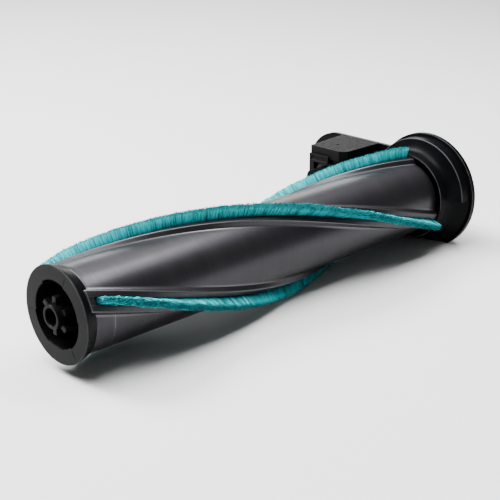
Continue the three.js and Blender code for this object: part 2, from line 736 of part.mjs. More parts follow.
/** A square bar along Y, round one pin of the socket. */
function pinBar(x, half, y0, y1) {
  return box(x - half, x + half, y0, y1, SOCKET_PINS.z - half, SOCKET_PINS.z + half);
}

/** Moulded power socket, open at the back, with room for its two pins. */
function powerSocket() {
  const { x0, x1, y0, y1, z0, z1, wall } = SOCKET;
  const body = box(x0, x1, y0, y1, z0, z1);
  const mouth = box(x0 + wall, x1 - wall, y0 + 4, y1 + 1, z0 + wall, z1 - wall);
  const holes = SOCKET_PINS.centres.map((x) => pinBar(x, SOCKET_PINS.holeHalf, y0 - 1, y0 + 5));
  return cut(body, mouth, ...holes);
}

// ---------------------------------------------------------------- the assembly

addPiece('roller_tube', rollerTube(), greyMetal());
for (let i = 0; i < RAIL.count; i += 1) {
  addPiece(`bristle_backing_${i + 1}`, bristleBacking(i), tealPlastic());
  addPiece(`bristle_strip_${i + 1}`, bristleStrip(i), turquoisePile());
}
addPiece('end_cap', endCap(), capBlack());
addPiece('drive_plug', drivePlug(), capBlack());
addPiece('drive_spindle', driveSpindle(), steel());
addPiece('drum_pulley', drumPulley(), acetal());
addPiece('pulley_screw', screw(SPINDLE.end + GAP, SPINDLE.end - 7, 0, 0, 6.5), zincSteel());
addPiece('bearing_inner_ring', bearingRing(BEARING.split - GAP, SPINDLE.radius + GAP), steel());

addPiece('drive_housing', driveHousing(), housingBlack());
addPiece('housing_cover', housingCover(), housingBlack());
coverScrews().forEach(([y, z], i) => {
  const seat = COVER.face - SCREW.headHeight;
  addPiece(`cover_screw_${i + 1}`, screw(seat, SCREW.tip, y, z), zincSteel());
});
addPiece('bay_lid', bayLid(), mattBlack());
addPiece('lid_clip', lidClip(), mattBlack());
addPiece('bearing_outer_ring', bearingRing(BEARING.outer, BEARING.split), steel());
addPiece('shaft_seal', ring(BEARING.outer, SPINDLE.radius + GAP, 229.4, 230.6), rubber());
addPiece('drive_belt', driveBelt(), rubber());
addPiece('layshaft', layshaft(), steel());
addPiece('reduction_gear', reductionGear(), acetal());

addPiece('motor_can', motorCan(), zincSteel());
addPiece('motor_endbell', motorEndbell(), housingBlack());
addPiece('motor_grommet', motorRing(6.6, MOTOR.bossRadius + GAP, 214.7, 218.4), rubber());
addPiece('front_bush', motorRing(MOTOR.bushRadius, MOTOR.shaftRadius + 0.2, 235.4, 237.2), brass());
addPiece('rear_bush', motorRing(MOTOR.bushRadius, MOTOR.shaftRadius + 0.2, 206, 209), brass());
addPiece('motor_magnet_1', motorMagnet(0), ferrite());
addPiece('motor_magnet_2', motorMagnet(180), ferrite());
terminals(0).forEach((blade, i) => addPiece(`motor_terminal_${i + 1}`, blade, brass()));
addPiece('motor_shaft', motorDisc(MOTOR.shaftRadius, 206.3, 250.2), steel());
addPiece('motor_armature', motorArmature(), ferrite());
addPiece('motor_commutator', motorRing(3.2, MOTOR.shaftRadius + GAP, 222.7, 224.9), copper());
addPiece('motor_pinion', motorPinion(), brass());

addPiece('driver_board', driverBoard(), boardGreen());
addPiece('lead_wire_1', leadWire(-TERMINAL.offset), redWire());
addPiece('lead_wire_2', leadWire(TERMINAL.offset), blackWire());
addPiece('power_socket', powerSocket(), acetal());
SOCKET_PINS.centres.forEach((x, i) => {
  const pin = pinBar(x, SOCKET_PINS.half, SOCKET.y0 - 2, SOCKET.y1 - 2);
  addPiece(`socket_pin_${i + 1}`, pin, brass());
});

// The origin is the middle of the footprint, on the floor.
assembly.position.set(
  -(HUB.nose + COVER.face) / 2,
  -(END.y + END.radius - RIM.radius) / 2,
  -FLOOR_Z,
);

export default assembly;
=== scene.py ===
"""Looks of the powered brush roller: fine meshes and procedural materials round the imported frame.

Shapes are drawn in millimetres from the middle of the idler cap's face, with X along the roller
towards the drive end, +Y to the back and +Z up. place() moves them into the row frame.
"""

import json
import math

import bmesh
import bpy
import numpy as np
from mathutils import Matrix, Vector


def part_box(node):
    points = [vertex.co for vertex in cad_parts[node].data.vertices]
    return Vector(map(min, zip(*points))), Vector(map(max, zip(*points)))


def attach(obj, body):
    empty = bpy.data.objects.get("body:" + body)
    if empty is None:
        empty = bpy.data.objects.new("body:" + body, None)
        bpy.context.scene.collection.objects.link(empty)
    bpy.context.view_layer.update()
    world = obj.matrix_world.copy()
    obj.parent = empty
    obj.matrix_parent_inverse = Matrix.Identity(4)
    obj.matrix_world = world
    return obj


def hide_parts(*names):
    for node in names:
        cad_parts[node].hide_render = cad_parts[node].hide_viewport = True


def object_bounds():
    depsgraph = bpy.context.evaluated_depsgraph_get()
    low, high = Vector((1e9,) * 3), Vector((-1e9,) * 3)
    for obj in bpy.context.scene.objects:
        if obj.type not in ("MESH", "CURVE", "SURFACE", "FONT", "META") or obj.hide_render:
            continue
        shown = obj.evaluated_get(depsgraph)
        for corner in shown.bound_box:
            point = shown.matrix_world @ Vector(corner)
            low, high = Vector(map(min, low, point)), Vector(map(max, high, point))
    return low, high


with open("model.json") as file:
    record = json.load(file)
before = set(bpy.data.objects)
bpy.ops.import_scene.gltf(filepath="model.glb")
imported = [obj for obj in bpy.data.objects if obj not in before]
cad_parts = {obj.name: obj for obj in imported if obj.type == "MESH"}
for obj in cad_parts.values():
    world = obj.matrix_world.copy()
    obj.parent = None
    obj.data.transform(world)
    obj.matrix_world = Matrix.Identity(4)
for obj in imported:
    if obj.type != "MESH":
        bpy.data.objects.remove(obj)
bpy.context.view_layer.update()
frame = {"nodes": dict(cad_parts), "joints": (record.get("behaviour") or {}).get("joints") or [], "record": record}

# ------------------------------------------------------------------ places from the frame

JOINTS = {joint["name"]: joint for joint in frame["joints"]}
MM = 0.001
HUB_OUT = 2.8  # how far the hub stands out of the idler cap's face
AXIS = Vector(JOINTS["roller_spin"]["pos_m"])
ORIGIN = Vector((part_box("end_cap")[0].x + HUB_OUT * MM, AXIS.y, AXIS.z))


def local(point):
    """A row-frame point, in metres, as millimetres from the idler cap's face."""
    return (Vector(point) - ORIGIN) / MM


def local_box(node):
    """A CAD node's box, as millimetres from the idler cap's face."""
    low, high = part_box(node)
    return local(low), local(high)


LAYSHAFT = local(JOINTS["reduction_spin"]["pos_m"])
MOTOR = local(JOINTS["motor_spin"]["pos_m"])
FLOOR_Z = local((0, 0, 0)).z

# ------------------------------------------------------------------ dimensions, millimetres

GAP = 0.3  # between pieces that lie against each other
WALL = 1.6
FINE = 128  # segments in a full circle of a visible round

# Idler cap: rim, pocket, hub, the hub's ribs, webs, steps in the pocket's mouth, marks on the face.
CAP_R, CAP_BACK_R, CAP_BACK = 21.5, 20.0, 5.6
POCKET_R, POCKET_FLOOR = 14.4, 15.0
HUB_R, HUB_BORE, HUB_BORE_END = 5.4, 3.8, 13.0
RIBS, RIB_NOSE, RIB_FOOT, RIB_R, RIB_HALF, RIB_ANGLE = 6, -0.9, 4.6, 8.6, 1.3, 3
WEB_FRONT, WEB_FOOT, WEB_HALF, WEB_ANGLE = 9, 8.0, 0.6, 63
STEP_DEPTH, STEP_OUT, STEP_IN, STEP_FROM, STEP_SPAN = 2.5, 0.75, 1.4, -35, 58
MARK_DEPTH, MARK_IN, MARK_OUT, MARK_HALF, MARK_ANGLE = 0.12, 16.2, 19.4, 0.2, 23

# Tube, its helical rails with a slot in each, and the bristle strips in the slots.
TUBE_START, TUBE_END = 5.9, 228.8
TUBE_R, TUBE_BORE, TUBE_CORNER = 19.4, 16.4, 0.55
RAILS, RAIL_ANGLE, TWIST = 3, 56.8, 0.79  # degrees, and degrees per millimetre
RAIL_START, SLOT_START = 3.4, 6.2
RAIL_TOP, RAIL_TOP_HALF, RAIL_FOOT_HALF = 21.7, 4.5, 5.45
RAIL_LAND = (4.2, 3.4, 2.6, 2.05)  # places across the flat top of a rail, beside the slot
SLOT_HALF, SLOT_FLOOR = 1.8, 17.9
STRIP_START, STRIP_END = 6.7, 226.4
TIP_RADII = (26.9, 26.7, 26.6)

# Flange with its long round end, and the cover behind it.
RIM_FRONT, RIM_BACK, RIM_R, TOP_Z = 244.2, 246.6, 31.6, 20.0
JOINED_BACK = RIM_FRONT + 0.2  # where the shapes that grow out of the flange end inside it
END_Y, END_R = 64.6, 20.0
UNDER_FOOT = (200, 260, -60, 120, FLOOR_Z - 30, FLOOR_Z)  # what is cut off flat at the foot
COVER_FACE = 252.4
COVER_INSETS = [  # x, then how far the flange, the round end and the foot draw in
    (246.9, 0.9, 0.6, 2.2),
    (247.2, 0.6, 0.3, 1.9),
    (251.9, 5.6, 2.2, 3.8),
    (COVER_FACE, 6.3, 2.9, 4.5),
]
COVER_ROOM_START, DRUM_ROOM_R, GEAR_ROOM_R, PINION_ROOM_R = 245, 12, 15.5, 7

# Collar and raised ring in front of the flange, the belt's tunnel, and the holes for the shafts.
COLLAR_IN, COLLAR_OUT, COLLAR_FRONT, COLLAR_FLOOR = 22.1, 23.1, 228.6, 235.8
RING_FRONT, RING_R = 237.4, 30.0
RING_FROM, RING_TO = -130, 88
TUNNEL_DRUM_R, TUNNEL_LAY_R = 20.3, 8.5
BEARING_SEAT_R, BEARING_SEAT_FRONT, BEARING_R, BEARING_BACK = 11.6, 229.2, 9.8, 236.2
SPINDLE_HOLE_R, SHAFT_HOLE_R, MOTOR_BOSS_HOLE_R = 6, 3.2, 6.9
LAYSHAFT_HOLE_R, LAYSHAFT_HOLE_START, LAYSHAFT_BOSS_R, LAYSHAFT_BOSS_FRONT = 2.3, 234.3, 4.2, 233.4

# Motor bay, its lid and the clip on its end wall.
BAY_X0, BAY_Y0, BAY_Y1, BAY_TOP = 215.4, 33.0, 61.0, 14.0
BAY_WALL, BAY_CORNER = 1.8, 3.2
LID_X0, LID_Y0, LID_Y1, LID_SPREAD, LID_TOP, LID_CORNER = 214.6, 33.6, 57.6, 3.0, 20.0, 3.4
DIMPLE_FROM_END, DIMPLE_FROM_FRONT = 11, 14
CLIP_BAR, CLIP_FOOT, CLIP_FOOT_Y, CLIP_LEG_Y, CLIP_GROOVE = 11.2, 7.2, 51.7, 54.2, 0.45

# Screws that hold the cover: three round the flange and two at the back.
FLANGE_SCREW_R, FLANGE_SCREW_ANGLES = 22.9, (48, 132, -22)
BACK_SCREWS = [(28, -20), (63.5, -21.3)]
SCREW_HOLE_R, SCREW_HEAD_R, SCREW_SINK, SCREW_HOLE_START = 1.6, 2.6, 1.8, 239
SCREW_PAD_R, SCREW_PAD_FRONT = 3.2, 238

# Edges that carry painted highlights, as circles of (x, radius), and how far each painted highlight reaches.
CAP_EDGES = [(0.1, CAP_R - 0.1)]
HOUSING_EDGES = [
    (RING_FRONT, RING_R - 0.15),
    (RIM_FRONT, RIM_R),
    (RIM_BACK, RIM_R),
    (COLLAR_FRONT, COLLAR_IN + 0.5),
]
HIGHLIGHT_REACH = 0.42

# ------------------------------------------------------------------ outlines


def polar(radius, degrees, y=0.0, z=0.0):
    """A point at an angle from straight up, turning towards the front."""
    angle = math.radians(degrees)
    return (y - radius * math.sin(angle), z + radius * math.cos(angle))


def arc(radius, start, end, steps, y=0.0, z=0.0):
    """Points of a circle between two angles, both ends included."""
    return [polar(radius, start + (end - start) * i / steps, y, z) for i in range(steps + 1)]


def circle(radius, y=0.0, z=0.0, steps=FINE):
    return arc(radius, 0, 360, steps, y, z)[:-1]


def turned_outline(outline, degrees):
    """An outline of (y, z) points, turned about the roller's axis."""
    cos, sin = math.cos(math.radians(degrees)), math.sin(math.radians(degrees))
    return [(y * cos - z * sin, y * sin + z * cos) for y, z in outline]


def loop_outline(drum_radius, lay_radius):
    """The loop round a circle at the roller and one at the layshaft."""
    lean = math.degrees(math.asin((drum_radius - lay_radius) / LAYSHAFT.y))
    drum_side = arc(drum_radius, -lean, 180 + lean, 48)
    lay_side = arc(lay_radius, 180 + lean, 360 - lean, 32, LAYSHAFT.y, LAYSHAFT.z)
    return drum_side + lay_side


def housing_outline(flange_inset=0.0, edge_inset=0.0, foot_inset=0.0):
    """Flange circle, flat foot, bevelled corner, round motor-side end and flat top."""
    flange = RIM_R - flange_inset
    end = END_R - edge_inset
    foot = FLOOR_Z + foot_inset
    top_angle = -math.degrees(math.acos((TOP_Z - edge_inset) / flange))
    foot_angle = math.degrees(math.acos(foot / flange))
    bevel_y = END_Y + end * math.sqrt(2) + foot
    round_side = arc(flange, top_angle, foot_angle, 96)
    return [*round_side, (bevel_y, foot), *arc(end, 225, 360, 48, END_Y)]


def rail_angle(index):
    """The angle of a rail's middle, carried back along its helix to the cap's face."""
    return RAIL_ANGLE + 360 / RAILS * index


# ------------------------------------------------------------------ solids


def solid(vertices, faces):
    """A temporary mesh object, in millimetres."""
    mesh = bpy.data.meshes.new("solid")
    mesh.from_pydata([tuple(v) for v in vertices], [], faces)
    work = bmesh.new()
    work.from_mesh(mesh)
    bmesh.ops.remove_doubles(work, verts=work.verts, dist=1e-5)
    bmesh.ops.recalc_face_normals(work, faces=work.faces)
    work.to_mesh(mesh)
    work.free()
    obj = bpy.data.objects.new("solid", mesh)
    bpy.context.scene.collection.objects.link(obj)
    return obj


def stack_faces(levels, count, first=0):
    """Faces of a closed solid through rings of equal length, capped at both ends."""
    last = first + (levels - 1) * count
    faces = [tuple(first + i for i in reversed(range(count)))]
    for low in range(first, last, count):
        high = low + count
        for i in range(count):
            j = (i + 1) % count
            faces.append((low + i, low + j, high + j, high + i))
    faces.append(tuple(last + i for i in range(count)))
    return faces


def stack(rings):
    """A closed solid through rings of equal length."""
    return solid([vertex for ring in rings for vertex in ring], stack_faces(len(rings), len(rings[0])))


def prism(outline, x0, x1):
    """An outline of (y, z) points, extruded along the roller."""
    return stack([[(x, y, z) for y, z in outline] for x in (x0, x1)])


def disc(radius, x0, x1, y=0.0, z=0.0, steps=FINE):
    """A round rod along X, on the roller's axis unless it says where."""
    return prism(circle(radius, y, z, steps), x0, x1)


def turned(profile, steps=FINE, start=0.0, end=360.0):
    """A solid of revolution about the roller's axis, or a sector of one, from (x, radius) points."""
    full = end - start >= 360
    angles = [start + (end - start) * i / steps for i in range(steps + (0 if full else 1))]
    count = len(profile)
    vertices = [(x, *polar(max(r, 0), a)) for a in angles for x, r in profile]
    faces = []
    spans = len(angles) if full else len(angles) - 1
    for i in range(spans):
        here, there = i * count, (i + 1) % len(angles) * count
        for k in range(count):
            nxt = (k + 1) % count
            faces.append((here + k, here + nxt, there + nxt, there + k))
    if not full:
        faces.append(tuple(range(count)))
        faces.append(tuple(reversed(range((len(angles) - 1) * count, len(angles) * count))))
    return solid(vertices, faces)


def block(x0, x1, y0, y1, z0, z1):
    return prism([(y0, z0), (y1, z0), (y1, z1), (y0, z1)], x0, x1)


def apply_modifiers(obj):
    graph = bpy.context.evaluated_depsgraph_get()
    mesh = bpy.data.meshes.new_from_object(obj.evaluated_get(graph))
    obj.modifiers.clear()
    obj.data = mesh
    return obj


def combine(base, tools, operation):
    """Joins the tools to the base or cuts them from it, and removes them."""
    for tool in tools:
        modifier = base.modifiers.new(operation, "BOOLEAN")
        modifier.operation = operation
        modifier.solver = "MANIFOLD"
        modifier.object = tool
    apply_modifiers(base)
    for tool in tools:
        bpy.data.objects.remove(tool)
    return base


def join(base, *tools):
    return combine(base, tools, "UNION")


def cut(base, *tools):
    return combine(base, tools, "DIFFERENCE")


def soften(obj, width, segments=2):
    """Rounds the sharp edges."""
    modifier = obj.modifiers.new("soften", "BEVEL")
    modifier.width = width
    modifier.segments = segments
    modifier.limit_method = "ANGLE"
    modifier.angle_limit = math.radians(32)
    modifier.miter_outer = "MITER_ARC"
    return apply_modifiers(obj)


def shade(mesh):
    """Smooth faces, with sharp edges where the surface turns."""
    mesh.polygons.foreach_set("use_smooth", [True] * len(mesh.polygons))
    mesh.set_sharp_from_angle(angle=math.radians(38))


def place(obj, name, body, nodes, slot, weighted=True):
    """Moves a finished solid into the row frame as a named piece that stands in for CAD nodes."""
    obj.data.transform(Matrix.Translation(ORIGIN) @ Matrix.Scale(MM, 4))
    obj.name = name
    obj.data.name = name
    obj.data.materials.clear()
    obj.data.materials.append(MATERIALS[slot])
    shade(obj.data)
    if weighted:
        normals = obj.modifiers.new("normals", "WEIGHTED_NORMAL")
        normals.keep_sharp = True
    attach(obj, body)
    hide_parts(*nodes)


# ------------------------------------------------------------------ materials


class Nodes:
    """A material's node tree, with short calls for the few nodes that are used."""

    def __init__(self, name):
        self.material = bpy.data.materials.new(name)
        self.material.use_nodes = True
        self.tree = self.material.node_tree
        self.shader = self.tree.nodes["Principled BSDF"]
        self.coordinates = self.tree.nodes.new("ShaderNodeTexCoord").outputs["Object"]

    def link(self, output, socket):
        self.tree.links.new(output, socket)

    def set(self, **values):
        for name, value in values.items():
            self.shader.inputs[name.replace("_", " ")].default_value = value

    def scaled(self, factors):
        node = self.tree.nodes.new("ShaderNodeMapping")
        node.inputs["Scale"].default_value = factors
        self.link(self.coordinates, node.inputs["Vector"])
        return node.outputs["Vector"]

    def noise(self, factors, detail=4.0, roughness=0.55, distortion=0.0):
        node = self.tree.nodes.new("ShaderNodeTexNoise")
        node.inputs["Scale"].default_value = 1.0
        node.inputs["Detail"].default_value = detail
        node.inputs["Roughness"].default_value = roughness
        node.inputs["Distortion"].default_value = distortion
        self.link(self.scaled(factors), node.inputs["Vector"])
        return node.outputs["Fac"]

    def cells(self, factors):
        node = self.tree.nodes.new("ShaderNodeTexVoronoi")
        node.inputs["Scale"].default_value = 1.0
        self.link(self.scaled(factors), node.inputs["Vector"])
        return node.outputs["Distance"]

    def ramp(self, value, stops):
        node = self.tree.nodes.new("ShaderNodeValToRGB")
        elements = node.color_ramp.elements
        while len(elements) < len(stops):
            elements.new(0.5)
        for element, (position, color) in zip(elements, stops):
            element.position = position
            grey = isinstance(color, (int, float))
            element.color = (color, color, color, 1) if grey else (*color, 1)
        self.link(value, node.inputs["Fac"])
        return node.outputs["Color"]

    def math(self, operation, a, b=0.5):
        node = self.tree.nodes.new("ShaderNodeMath")
        node.operation = operation
        for socket, value in zip(node.inputs, (a, b)):
            if isinstance(value, (int, float)):
                socket.default_value = value
            else:
                self.link(value, socket)
        return node.outputs["Value"]

    def mix(self, factor, a, b, blend="MIX"):
        node = self.tree.nodes.new("ShaderNodeMix")
        node.data_type = "RGBA"
        node.blend_type = blend
        for name, value in (("Factor_Float", factor), ("A_Color", a), ("B_Color", b)):
            socket = next(s for s in node.inputs if s.identifier == name)
            if isinstance(value, (int, float)):
                socket.default_value = value
            elif isinstance(value, tuple):
                socket.default_value = (*value, 1)
            else:
                self.link(value, socket)
        return next(s for s in node.outputs if s.identifier == "Result_Color")

    def attribute(self, name):
        node = self.tree.nodes.new("ShaderNodeAttribute")
        node.attribute_name = name
        return node.outputs["Fac"]

    def near_circle(self, x, radius):
        """1 on a circle round the roller's axis, falling to 0 where the painted highlight of an edge ends."""
        offset = self.tree.nodes.new("ShaderNodeVectorMath")
        offset.operation = "SUBTRACT"
        self.link(self.coordinates, offset.inputs[0])
        offset.inputs[1].default_value = ORIGIN + Vector((x, 0, 0)) * MM
        parts = self.tree.nodes.new("ShaderNodeSeparateXYZ")
        self.link(offset.outputs["Vector"], parts.inputs["Vector"])
        squares = [self.math("MULTIPLY", parts.outputs[axis], parts.outputs[axis]) for axis in "XYZ"]
        across = self.math("SQRT", self.math("ADD", squares[1], squares[2]))
        out = self.math("SUBTRACT", across, radius * MM)
        square = self.math("ADD", squares[0], self.math("MULTIPLY", out, out))
        away = self.math("DIVIDE", self.math("SQRT", square), HIGHLIGHT_REACH * MM)
        return self.math("MAXIMUM", self.math("SUBTRACT", 1.0, away), 0.0)

    def painted_edge_highlight(self, base, circles, color):
        """The base colour with patchy painted highlights along some edge circles, each (x, radius)."""
        patches = self.ramp(self.noise((150, 150, 150), detail=3), [(0.35, 0.35), (0.6, 1.0)])
        for x, radius in circles:
            share = self.math("MULTIPLY", self.near_circle(x, radius), patches)
            base = self.mix(share, base, color)
        return base

    def bump(self, height, distance):
        node = self.tree.nodes.new("ShaderNodeBump")
        node.inputs["Distance"].default_value = distance
        node.inputs["Strength"].default_value = 1.0
        self.link(height, node.inputs["Height"])
        self.link(node.outputs["Normal"], self.shader.inputs["Normal"])

    def color(self, output):
        self.link(output, self.shader.inputs["Base Color"])

    def roughness(self, output):
        self.link(output, self.shader.inputs["Roughness"])


def plain(name, color, rough, grain=(900.0, 0.00002)):
    """A moulded surface: slight colour and gloss variation and a fine grain (scale, depth)."""
    nodes = Nodes(name)
    cloud = nodes.noise((60, 60, 60))
    dark = tuple(c * 0.88 for c in color)
    light = tuple(min(c * 1.12, 1) for c in color)
    nodes.color(nodes.ramp(cloud, [(0.3, dark), (0.7, light)]))
    smear = nodes.noise((140, 140, 140), detail=6)
    nodes.roughness(nodes.ramp(smear, [(0.3, rough * 0.88), (0.72, min(rough * 1.12, 1))]))
    scale, depth = grain
    nodes.bump(nodes.noise((scale, scale, scale), detail=2), depth)
    return nodes.material


def drawn(name, color, rough, direction):
    """Turned or drawn metal: fine lines, closest together along the axes with large factors."""
    nodes = Nodes(name)
    nodes.set(Metallic=1.0)
    lines = nodes.noise(direction, detail=3, roughness=0.7)
    dark = tuple(c * 0.82 for c in color)
    nodes.color(nodes.ramp(lines, [(0.3, dark), (0.65, color)]))
    nodes.roughness(nodes.ramp(lines, [(0.3, rough * 1.25), (0.7, rough * 0.85)]))
    nodes.bump(lines, 0.000012)
    return nodes.material


def roller_metal():
    """Dark grey metallic tube: turned rings, scuffs near the free end, and painted highlights on the rail edges,
    the tube's end and the rails' tongues.
    """
    nodes = Nodes("roller_metal")
    nodes.set(Metallic=0.88, Coat_Weight=0.08, Coat_Roughness=0.22)
    rings = nodes.noise((2600, 6, 6), detail=3, roughness=0.7)
    cloud = nodes.noise((28, 45, 45), detail=5)
    base = nodes.ramp(cloud, [(0.3, (0.021, 0.0195, 0.0245)), (0.7, (0.0265, 0.025, 0.031))])
    lined = nodes.mix(0.3, base, nodes.ramp(rings, [(0.3, 0.015), (0.7, 0.034)]))
    scuffed = nodes.mix(scuffs(nodes), lined, (0.3, 0.3, 0.32))
    # Painted highlight: the mesh's edge values lighten the colour on the rail edges, the tube's end and the
    # tongues.
    painted_edge_highlight = nodes.math("MULTIPLY", nodes.attribute("edge"), 0.3)
    nodes.color(nodes.mix(painted_edge_highlight, scuffed, (0.36, 0.36, 0.38)))
    bands = nodes.noise((160, 3, 3), detail=2)
    fine_gloss = nodes.ramp(rings, [(0.3, 0.44), (0.7, 0.34)])
    band_gloss = nodes.ramp(bands, [(0.3, 0.43), (0.7, 0.33)])
    nodes.roughness(nodes.mix(0.5, fine_gloss, band_gloss))
    nodes.bump(rings, 0.000006)
    return nodes.material


def scuffs(nodes):
    """Thin marks round the tube, thickest beside the cap."""
    lines = nodes.noise((5200, 26, 26), detail=1, distortion=0.4)
    marks = nodes.ramp(lines, [(0.7, 0.0), (0.76, 1.0)])
    position = nodes.tree.nodes.new("ShaderNodeSeparateXYZ")
    nodes.link(nodes.coordinates, position.inputs["Vector"])
    from_cap = nodes.math("SUBTRACT", position.outputs["X"], ORIGIN.x)
    share = nodes.ramp(from_cap, [(0.0, 0.5), (0.06, 0.1), (0.2, 0.02)])
    return nodes.math("MULTIPLY", marks, share)


def pile_material():
    """Turquoise nylon pile, coloured by height: painted shade at the roots and on the cut tips, painted light over
    most of each fibre.
    """
    nodes = Nodes("bristle_pile")
    nodes.set(Specular_IOR_Level=0.2)
    # Height ramp: painted shade darkens the roots and the cut tips, painted light brightens the upper part of each
    # fibre.
    painted_root_shade, low, body = (0.0, 0.010, 0.014), (0.0, 0.10, 0.12), (0.0, 0.36, 0.40)
    painted_light, painted_tip_shade = (0.004, 0.56, 0.60), (0.0, 0.17, 0.19)
    stops = [(0.0, painted_root_shade), (0.34, low), (0.55, body), (0.92, painted_light), (1.0, painted_tip_shade)]
    grown = nodes.ramp(nodes.attribute("height"), stops)
    patch = nodes.ramp(nodes.noise((180, 180, 180), detail=3), [(0.3, 0.9), (0.7, 1.0)])
    patched = nodes.mix(1.0, grown, patch, "MULTIPLY")
    tint_and_shade = nodes.attribute("tint_and_shade")
    shades = nodes.ramp(tint_and_shade, [(0.0, 0.34), (0.5, 0.84), (1.0, 1.0)])
    nodes.color(nodes.mix(1.0, patched, shades, "MULTIPLY"))
    nodes.roughness(nodes.ramp(tint_and_shade, [(0.0, 0.5), (1.0, 0.72)]))
    return nodes.material


def cap_black():
    """Satin black moulding with flow marks, fine rubbed scratches and a painted highlight along the face's outer
    edge.
    """
    nodes = Nodes("cap_black")
    nodes.set(IOR=1.45, Specular_IOR_Level=0.05)
    cloud = nodes.noise((70, 70, 70), detail=5)
    base = nodes.ramp(cloud, [(0.3, (0.0014, 0.0015, 0.0016)), (0.7, (0.0026, 0.0027, 0.0029))])
    rub = nodes.noise((420, 2200, 420), detail=2, distortion=0.6)
    rubbed = nodes.mix(nodes.ramp(rub, [(0.68, 0.0), (0.75, 0.5)]), base, (0.012, 0.012, 0.0125))
    # Painted highlight: a patchy pale line along the face's outer edge.
    nodes.color(nodes.painted_edge_highlight(rubbed, CAP_EDGES, (0.028, 0.028, 0.03)))
    gloss = nodes.noise((110, 110, 110), detail=6)
    nodes.roughness(nodes.ramp(gloss, [(0.3, 0.24), (0.7, 0.36)]))
    nodes.bump(nodes.noise((1300, 1300, 1300), detail=2), 0.000012)
    return nodes.material


def housing_black():
    """Black moulding of the drive unit: smoother than the cap, with soft dust and painted highlights along the
    ring, rim and collar edges.
    """
    nodes = Nodes("housing_black")
    nodes.set(IOR=1.45, Specular_IOR_Level=0.035)
    cloud = nodes.noise((50, 50, 50), detail=6)
    base = nodes.ramp(cloud, [(0.3, (0.0012, 0.0013, 0.0016)), (0.7, (0.0022, 0.0024, 0.0028))])
    dust = nodes.ramp(nodes.noise((1900, 1900, 1900), detail=1), [(0.74, 0.0), (0.8, 0.3)])
    dusty = nodes.mix(dust, base, (0.02, 0.02, 0.02))
    # Painted highlights: patchy pale lines along the ring's front edge, the rim's two edges and the collar's front
    # edge.
    nodes.color(nodes.painted_edge_highlight(dusty, HOUSING_EDGES, (0.05, 0.05, 0.053)))
    gloss = nodes.noise((90, 90, 90), detail=6)
    nodes.roughness(nodes.ramp(gloss, [(0.3, 0.26), (0.7, 0.38)]))
    nodes.bump(nodes.noise((900, 900, 900), detail=3), 0.000016)
    return nodes.material


def bay_grey():
    """Matt lid plastic with a spark-eroded grain."""
    nodes = Nodes("bay_grey")
    nodes.set(Specular_IOR_Level=0.07)
    cloud = nodes.noise((80, 80, 80), detail=5)
    nodes.color(nodes.ramp(cloud, [(0.3, (0.0016, 0.0016, 0.0018)), (0.7, (0.0025, 0.0025, 0.0028))]))
    nodes.roughness(nodes.ramp(nodes.noise((700, 700, 700)), [(0.3, 0.5), (0.7, 0.66)]))
    nodes.bump(nodes.cells((2600, 2600, 2600)), 0.00003)
    return nodes.material


MATERIALS = {
    "roller_metal": roller_metal(),
    "bristle_pile": pile_material(),
    "backing_plastic": plain("backing_plastic", (0.008, 0.11, 0.12), 0.55),
    "cap_plastic": cap_black(),
    "housing_plastic": housing_black(),
    "bay_plastic": bay_grey(),
    "steel": drawn("steel", (0.56, 0.57, 0.58), 0.24, (2400, 30, 30)),
    "zinc": drawn("zinc", (0.50, 0.51, 0.53), 0.34, (300, 900, 900)),
    "brass": drawn("brass", (0.62, 0.44, 0.17), 0.28, (1800, 60, 60)),
    "rubber": plain("rubber", (0.012, 0.012, 0.013), 0.78, (1600.0, 0.00003)),
    "acetal": plain("acetal", (0.68, 0.65, 0.57), 0.42),
    "ferrite": plain("ferrite", (0.045, 0.045, 0.048), 0.72, (2200.0, 0.00004)),
    "board": plain("board", (0.012, 0.12, 0.045), 0.38, (700.0, 0.00003)),
    "wire_red": plain("wire_red", (0.38, 0.02, 0.018), 0.45),
    "wire_black": plain("wire_black", (0.018, 0.018, 0.018), 0.45),
}

# ------------------------------------------------------------------ roller


def rail_half():
    """Half of a rail's section from foot to slot, as (across, up, painted highlight on the edges)."""
    points = []
    for share in np.linspace(0, 1, 9):
        across = RAIL_FOOT_HALF + (RAIL_TOP_HALF - RAIL_FOOT_HALF) * share
        ease = share * share * (3 - 2 * share)
        radius = TUBE_R + (RAIL_TOP - TUBE_R) * ease
        # Painted highlight: strongest near the rounded top edge and along the foot line.
        painted_light = max(0.0, 1 - abs(share - 0.9) / 0.12) + max(0.0, 0.6 - share / 0.2)
        points.append((across, math.sqrt(radius**2 - across**2), painted_light))
    for across in RAIL_LAND:
        points.append((across, math.sqrt(RAIL_TOP**2 - across**2), 0.0))
    lip = math.sqrt(RAIL_TOP**2 - SLOT_HALF**2)
    points.append((SLOT_HALF + 0.08, lip - 0.03, 0.5))
    points.append((SLOT_HALF, lip - 0.14, 0.3))
    return points


def rail_section(with_slot):
    """One rail across its whole width, front to back, with the slot open or filled."""
    half = rail_half()
    floor = SLOT_FLOOR if with_slot else half[-1][1] - 0.02
    left = [*half, (SLOT_HALF, floor, 0.0)]
    right = [(-across, up, painted_light) for across, up, painted_light in reversed(left)]
    return left + right


def tube_section(with_slot):
    """The tube's whole outside: three rails with plain wall between them."""
    foot = math.degrees(math.asin(RAIL_FOOT_HALF / TUBE_R))
    wall = [(y, z, 0.0) for y, z in arc(TUBE_R, foot, 360 / RAILS - foot, 26)[1:-1]]
    sector = rail_section(with_slot) + wall
    section = []
    for index in range(RAILS):
        turned_sector = turned_outline([point[:2] for point in sector], rail_angle(index))
        section += [(y, z, painted_light) for (y, z), (_, _, painted_light) in zip(turned_sector, sector)]
    return section


